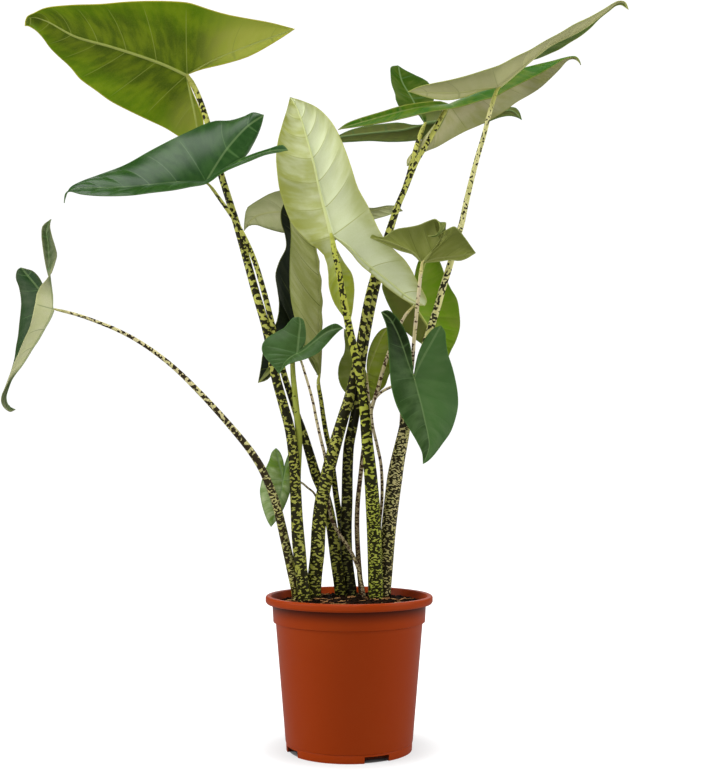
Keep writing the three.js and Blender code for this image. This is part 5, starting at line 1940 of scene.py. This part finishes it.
    def _strip(self, part: Mesh, travels: list[float], inner: Path, sinus: Path, left: bool) -> None:
        """Adds the strip between the basal vein and the sinus.

        Args:
            part: the sheet.
            travels: places of the rows.
            inner: the spine at a travel.
            sinus: the sinus at a travel.
            left: whether this is the left half.
        """
        columns = self.strip_columns
        grid = self._grid(part, columns, len(travels) - 1, not left)
        place, vein, relief = (part.verts.layers.float_vector[name] for name in self.MEASURES)
        run = 0.0
        for row, travel in enumerate(travels):
            run += (inner(travel) - inner(travels[max(row - 1, 0)])).length
            start, end = inner(travel), sinus(travel)
            width = (end - start).length
            rib = self._rib(travel)
            for column in range(columns + 1):
                share = (column / columns) ** 1.3
                vert = grid[row][column]
                vert.co = start.lerp(end, share)
                vert[place] = (share * width, width * (1 - share), 1.0)
                vert[vein] = (travel * self.basal_veins, self.strip_pitch, -share if left else share)
                ridge = self._ridge(share * width, min(rib, 0.4 * width), 0.5, share, travel)
                vert[relief] = (ridge, 0.0, run)

    def _grid(self, part: Mesh, columns: int, rows: int, flipped: bool) -> list[list[Vert]]:
        """Adds a grid of faces.

        Args:
            part: the sheet.
            columns: faces across.
            rows: faces along.
            flipped: whether its faces are turned over.

        Returns:
            The rows of its corners.
        """
        verts = bmesh.ops.create_grid(part, x_segments=columns, y_segments=rows, size=1.0)["verts"]
        if flipped:
            faces = list({face for vert in verts for face in vert.link_faces})
            bmesh.ops.reverse_faces(part, faces=faces)
        wide = columns + 1
        return [verts[row * wide : (row + 1) * wide] for row in range(rows + 1)]

    def _sheet(self) -> Mesh:
        """The middle sheet of both halves, its upper side outwards.

        Returns:
            The sheet, without thickness.
        """
        part = bmesh.new()
        for name in self.MEASURES:
            part.verts.layers.float_vector.new(name)
        self._half(part, self.leaf.left, True)
        self._half(part, self.leaf.right, False)
        bmesh.ops.remove_doubles(part, verts=part.verts, dist=self.joined)
        part.normal_update()
        return part

    def _thicken(self, part: Mesh) -> None:
        """Gives the sheet its two sides, with the rib and the veins on the lower one.

        Args:
            part: the sheet.
        """
        place, relief = (part.verts.layers.float_vector[name] for name in ("blade_place", "relief"))
        up = {vert: vert.normal.copy() for vert in part.verts}
        shapes = {vert: vert.co.copy() for vert in part.verts}
        normals = {tuple(vert.co): vert.normal.copy() for vert in part.verts}
        everything = [*part.verts, *part.edges, *part.faces]
        grown = bmesh.ops.extrude_face_region(part, geom=everything, use_keep_orig=True)["geom"]
        lower = [item for item in grown if isinstance(item, Vert)]
        for vert, normal in up.items():
            swell = vert[relief].y
            vert.co = shapes[vert] + normal * (self.thickness / 2 + swell)
        for vert in lower:
            normal = normals[tuple(vert.co)]
            raised, swell = vert[relief].x, vert[relief].y
            vert.co = vert.co - normal * (self.thickness / 2 + raised - swell)
            vert[place] = (vert[place].x, vert[place].y, 0.0)

    def _neck(self, stalk: Petiole, underside: Vector) -> Line:
        """Middle line of the plain top of the stalk, which runs into the rib.

        Args:
            stalk: the leaf's stalk.
            underside: which way the blade's underside faces.

        Returns:
            The line.
        """
        line = stalk.line()
        start = 1 - self.neck_length / line.length
        radius = stalk.girth(1.0) / 2
        attach = line.at(1.0)
        midrib = Line.drawn([self.leaf.attach, *self.leaf.rib, self.leaf.tip])
        on_rib = midrib.at(self.neck_run * self.neck_length / midrib.length)
        over, along = self.neck_lifts
        return Line(
            [
                line.at(start),
                line.at((1 + start) / 2),
                attach + underside * over * radius,
                on_rib + underside * along * radius,
            ]
        )

    def build(self, flesh: Material, bare: Material) -> None:
        """Makes the blade and the plain top of its stalk.

        Args:
            flesh: the blade's finish.
            bare: the stalk's finish.
        """
        stalk = Petiole(self.leaf)
        attach = SIGHT.place(*self.leaf.attach)
        part = self._sheet()
        nearest = min(part.verts, key=lambda vert: (vert.co - attach).length)
        underside = -nearest.normal
        self._thicken(part)
        slot, name = self.leaf.blade.value, f"blade_{self.leaf.name}"
        show(part, f"{name}_fine", flesh, slot, name)
        radius = stalk.girth(1.0) / 2
        neck = swept(
            self._neck(stalk, underside),
            1.0,
            lambda share: radius * (1 - self.neck_taper * share),
            self.neck_sides,
            self.neck_step,
        )
        life = neck.verts.layers.float_vector["stalk_life"]
        for vert in neck.verts:
            vert[life] = (1.0, vert[life].y, 0.0)
        show(neck, f"{name}_neck", bare, slot)


@dataclass
class Studio:
    """Pale floor, soft light and the camera, in metres."""

    floor_size: float = 30.0
    sky: float = 0.16
    shown_sky: float = 1.05
    floor_glow: float = 0.2
    shown_glow: tuple[float, float] = (0.6, 1.02)
    shadow: tuple[float, float] = (0.068, 0.15)
    floor_tone: float = 0.25
    floor_roughness: float = 0.9
    aim: Spot = (0.0, 0.0, 0.45)
    lamps: tuple[tuple[str, Spot, float, float], ...] = (
        ("Left side", (-1.8, -0.6, 1.1), 1.3, 36.0),
        ("Right side", (1.8, -0.5, 1.0), 1.3, 28.0),
        ("Above", (-0.2, -0.6, 2.5), 1.2, 30.0),
        ("Front", (-0.3, -2.3, 0.3), 1.8, 18.0),
        ("Back", (0.2, 1.7, 1.6), 2.0, 20.0),
    )
    sensor: float = 36.0

    def build(self) -> None:
        """Sets the stage."""
        self._floor()
        self._world()
        for lamp in self.lamps:
            self._lamp(*lamp)
        self._camera()
        bpy.context.scene.view_settings.view_transform = "Standard"

    def _floor(self) -> None:
        """A pale floor that glows for the camera, with a painted shadow round the pot and no glow under it.
        """
        part = bmesh.new()
        bmesh.ops.create_grid(part, x_segments=1, y_segments=1, size=self.floor_size / 2)
        floor = stand(part, "floor")
        material = bpy.data.materials.new("Pale floor")
        material.use_nodes = True
        shader = material.node_tree.nodes["Principled BSDF"]
        shader.inputs["Base Color"].default_value = (*[self.floor_tone] * 3, 1.0)
        shader.inputs["Roughness"].default_value = self.floor_roughness
        shader.inputs["Emission Color"].default_value = WHITE
        bench = NodeBench(material.node_tree)
        place = bench.add("ShaderNodeTexCoord").outputs["Object"]
        distance = bench.add("ShaderNodeVectorMath", {0: place}, operation="LENGTH").outputs["Value"]
        # Painted shadow: the glow that the camera sees fades near the pot and is off beneath it.
        shown = bench.blend(bench.fade(distance, *self.shadow), *self.shown_glow)
        under_pot = bench.sum("LESS_THAN", distance, self.shadow[0])
        shown = bench.blend(under_pot, shown, 0.0)
        glow = self._seen(bench, self.floor_glow, shown)
        material.node_tree.links.new(glow, shader.inputs["Emission Strength"])
        floor.data.materials.append(material)

    def _world(self) -> None:
        """An even white sky."""
        world = bpy.data.worlds.new("White room")
        world.use_nodes = True
        sky = world.node_tree.nodes["Background"]
        sky.inputs["Color"].default_value = WHITE
        bench = NodeBench(world.node_tree)
        strength = self._seen(bench, self.sky, self.shown_sky)
        world.node_tree.links.new(strength, sky.inputs["Strength"])
        bpy.context.scene.world = world

    def _seen(self, bench: NodeBench, unseen: float, seen: Term) -> Socket:
        """One brightness for what the camera sees and another for the light that the backdrop gives."""
        return bench.blend(bench.add("ShaderNodeLightPath").outputs["Is Camera Ray"], unseen, seen)

    def _lamp(self, name: str, place: Spot, size: float, power: float) -> None:
        """A soft square lamp that faces the plant.

        Args:
            name: its name.
            place: where it stands.
            size: its side.
            power: its power in watts.
        """
        light = bpy.data.lights.new(name, "AREA")
        light.energy = power
        light.size = size
        lamp = bpy.data.objects.new(name, light)
        lamp.location = place
        heading = Vector(self.aim) - Vector(place)
        lamp.rotation_euler = heading.to_track_quat("-Z", "Y").to_euler()
        bpy.context.scene.collection.objects.link(lamp)

    def _camera(self) -> None:
        """The camera, at the place that the plant is drawn from."""
        lens = bpy.data.cameras.new("Camera")
        lens.sensor_fit = "AUTO"
        lens.sensor_width = self.sensor
        lens.lens = self.sensor * SIGHT.focal / SIGHT.picture_height
        camera = bpy.data.objects.new("Camera", lens)
        camera.location = SIGHT.eye * MM
        camera.rotation_euler = (math.pi / 2 + SIGHT.tilt, 0.0, 0.0)
        bpy.context.scene.collection.objects.link(camera)
        bpy.context.scene.camera = camera


def build_corms(earth: Effect) -> None:
    """Makes the three corms.

    Args:
        earth: the colouring of earth.
    """
    fibres = {"Dark": paint(78, 54, 36), "Light": paint(128, 94, 62), "Fleck": paint(170, 136, 98)}
    skin = finish_from(earth, "Corm skin", fibres, bump=0.6)
    for corm in (Corm("left", -51, 7, 19), Corm("middle", -3, 46, 21), Corm("right", 34, 18, 22)):
        corm.build(skin)


def build_leaves() -> None:
    """Makes the fifteen leaves, each a stalk and a blade."""
    colouring, marks = leaf_effect(), stalk_effect()
    stalks = {key: look.material(marks, f"Stalk {key}") for key, look in STALK_LOOKS.items()}
    for leaf in LEAVES:
        flesh = BLADE_LOOKS[leaf.name].material(colouring, f"Blade {leaf.name}")
        skin = stalks.get(leaf.name, stalks[leaf.stalk.name.lower()])
        Petiole(leaf).build(skin)
        quilting = QUILTING.get(leaf.name, Blade.quilting)
        folds = FOLDS.get(leaf.name, Blade.folds)
        Blade(leaf, quilting=quilting, folds=folds).build(flesh, skin)


def main() -> None:
    """Builds the pot, the soil, the corms and the leaves, and sets the stage."""
    logging.basicConfig(level=logging.INFO, format="%(name)s: %(message)s")
    pot = Pot()
    pot.build(plastic_effect())
    earth = earth_effect()
    Soil(pot).build(earth)
    build_corms(earth)
    build_leaves()
    Studio().build()


if __name__ == "__main__":
    main()
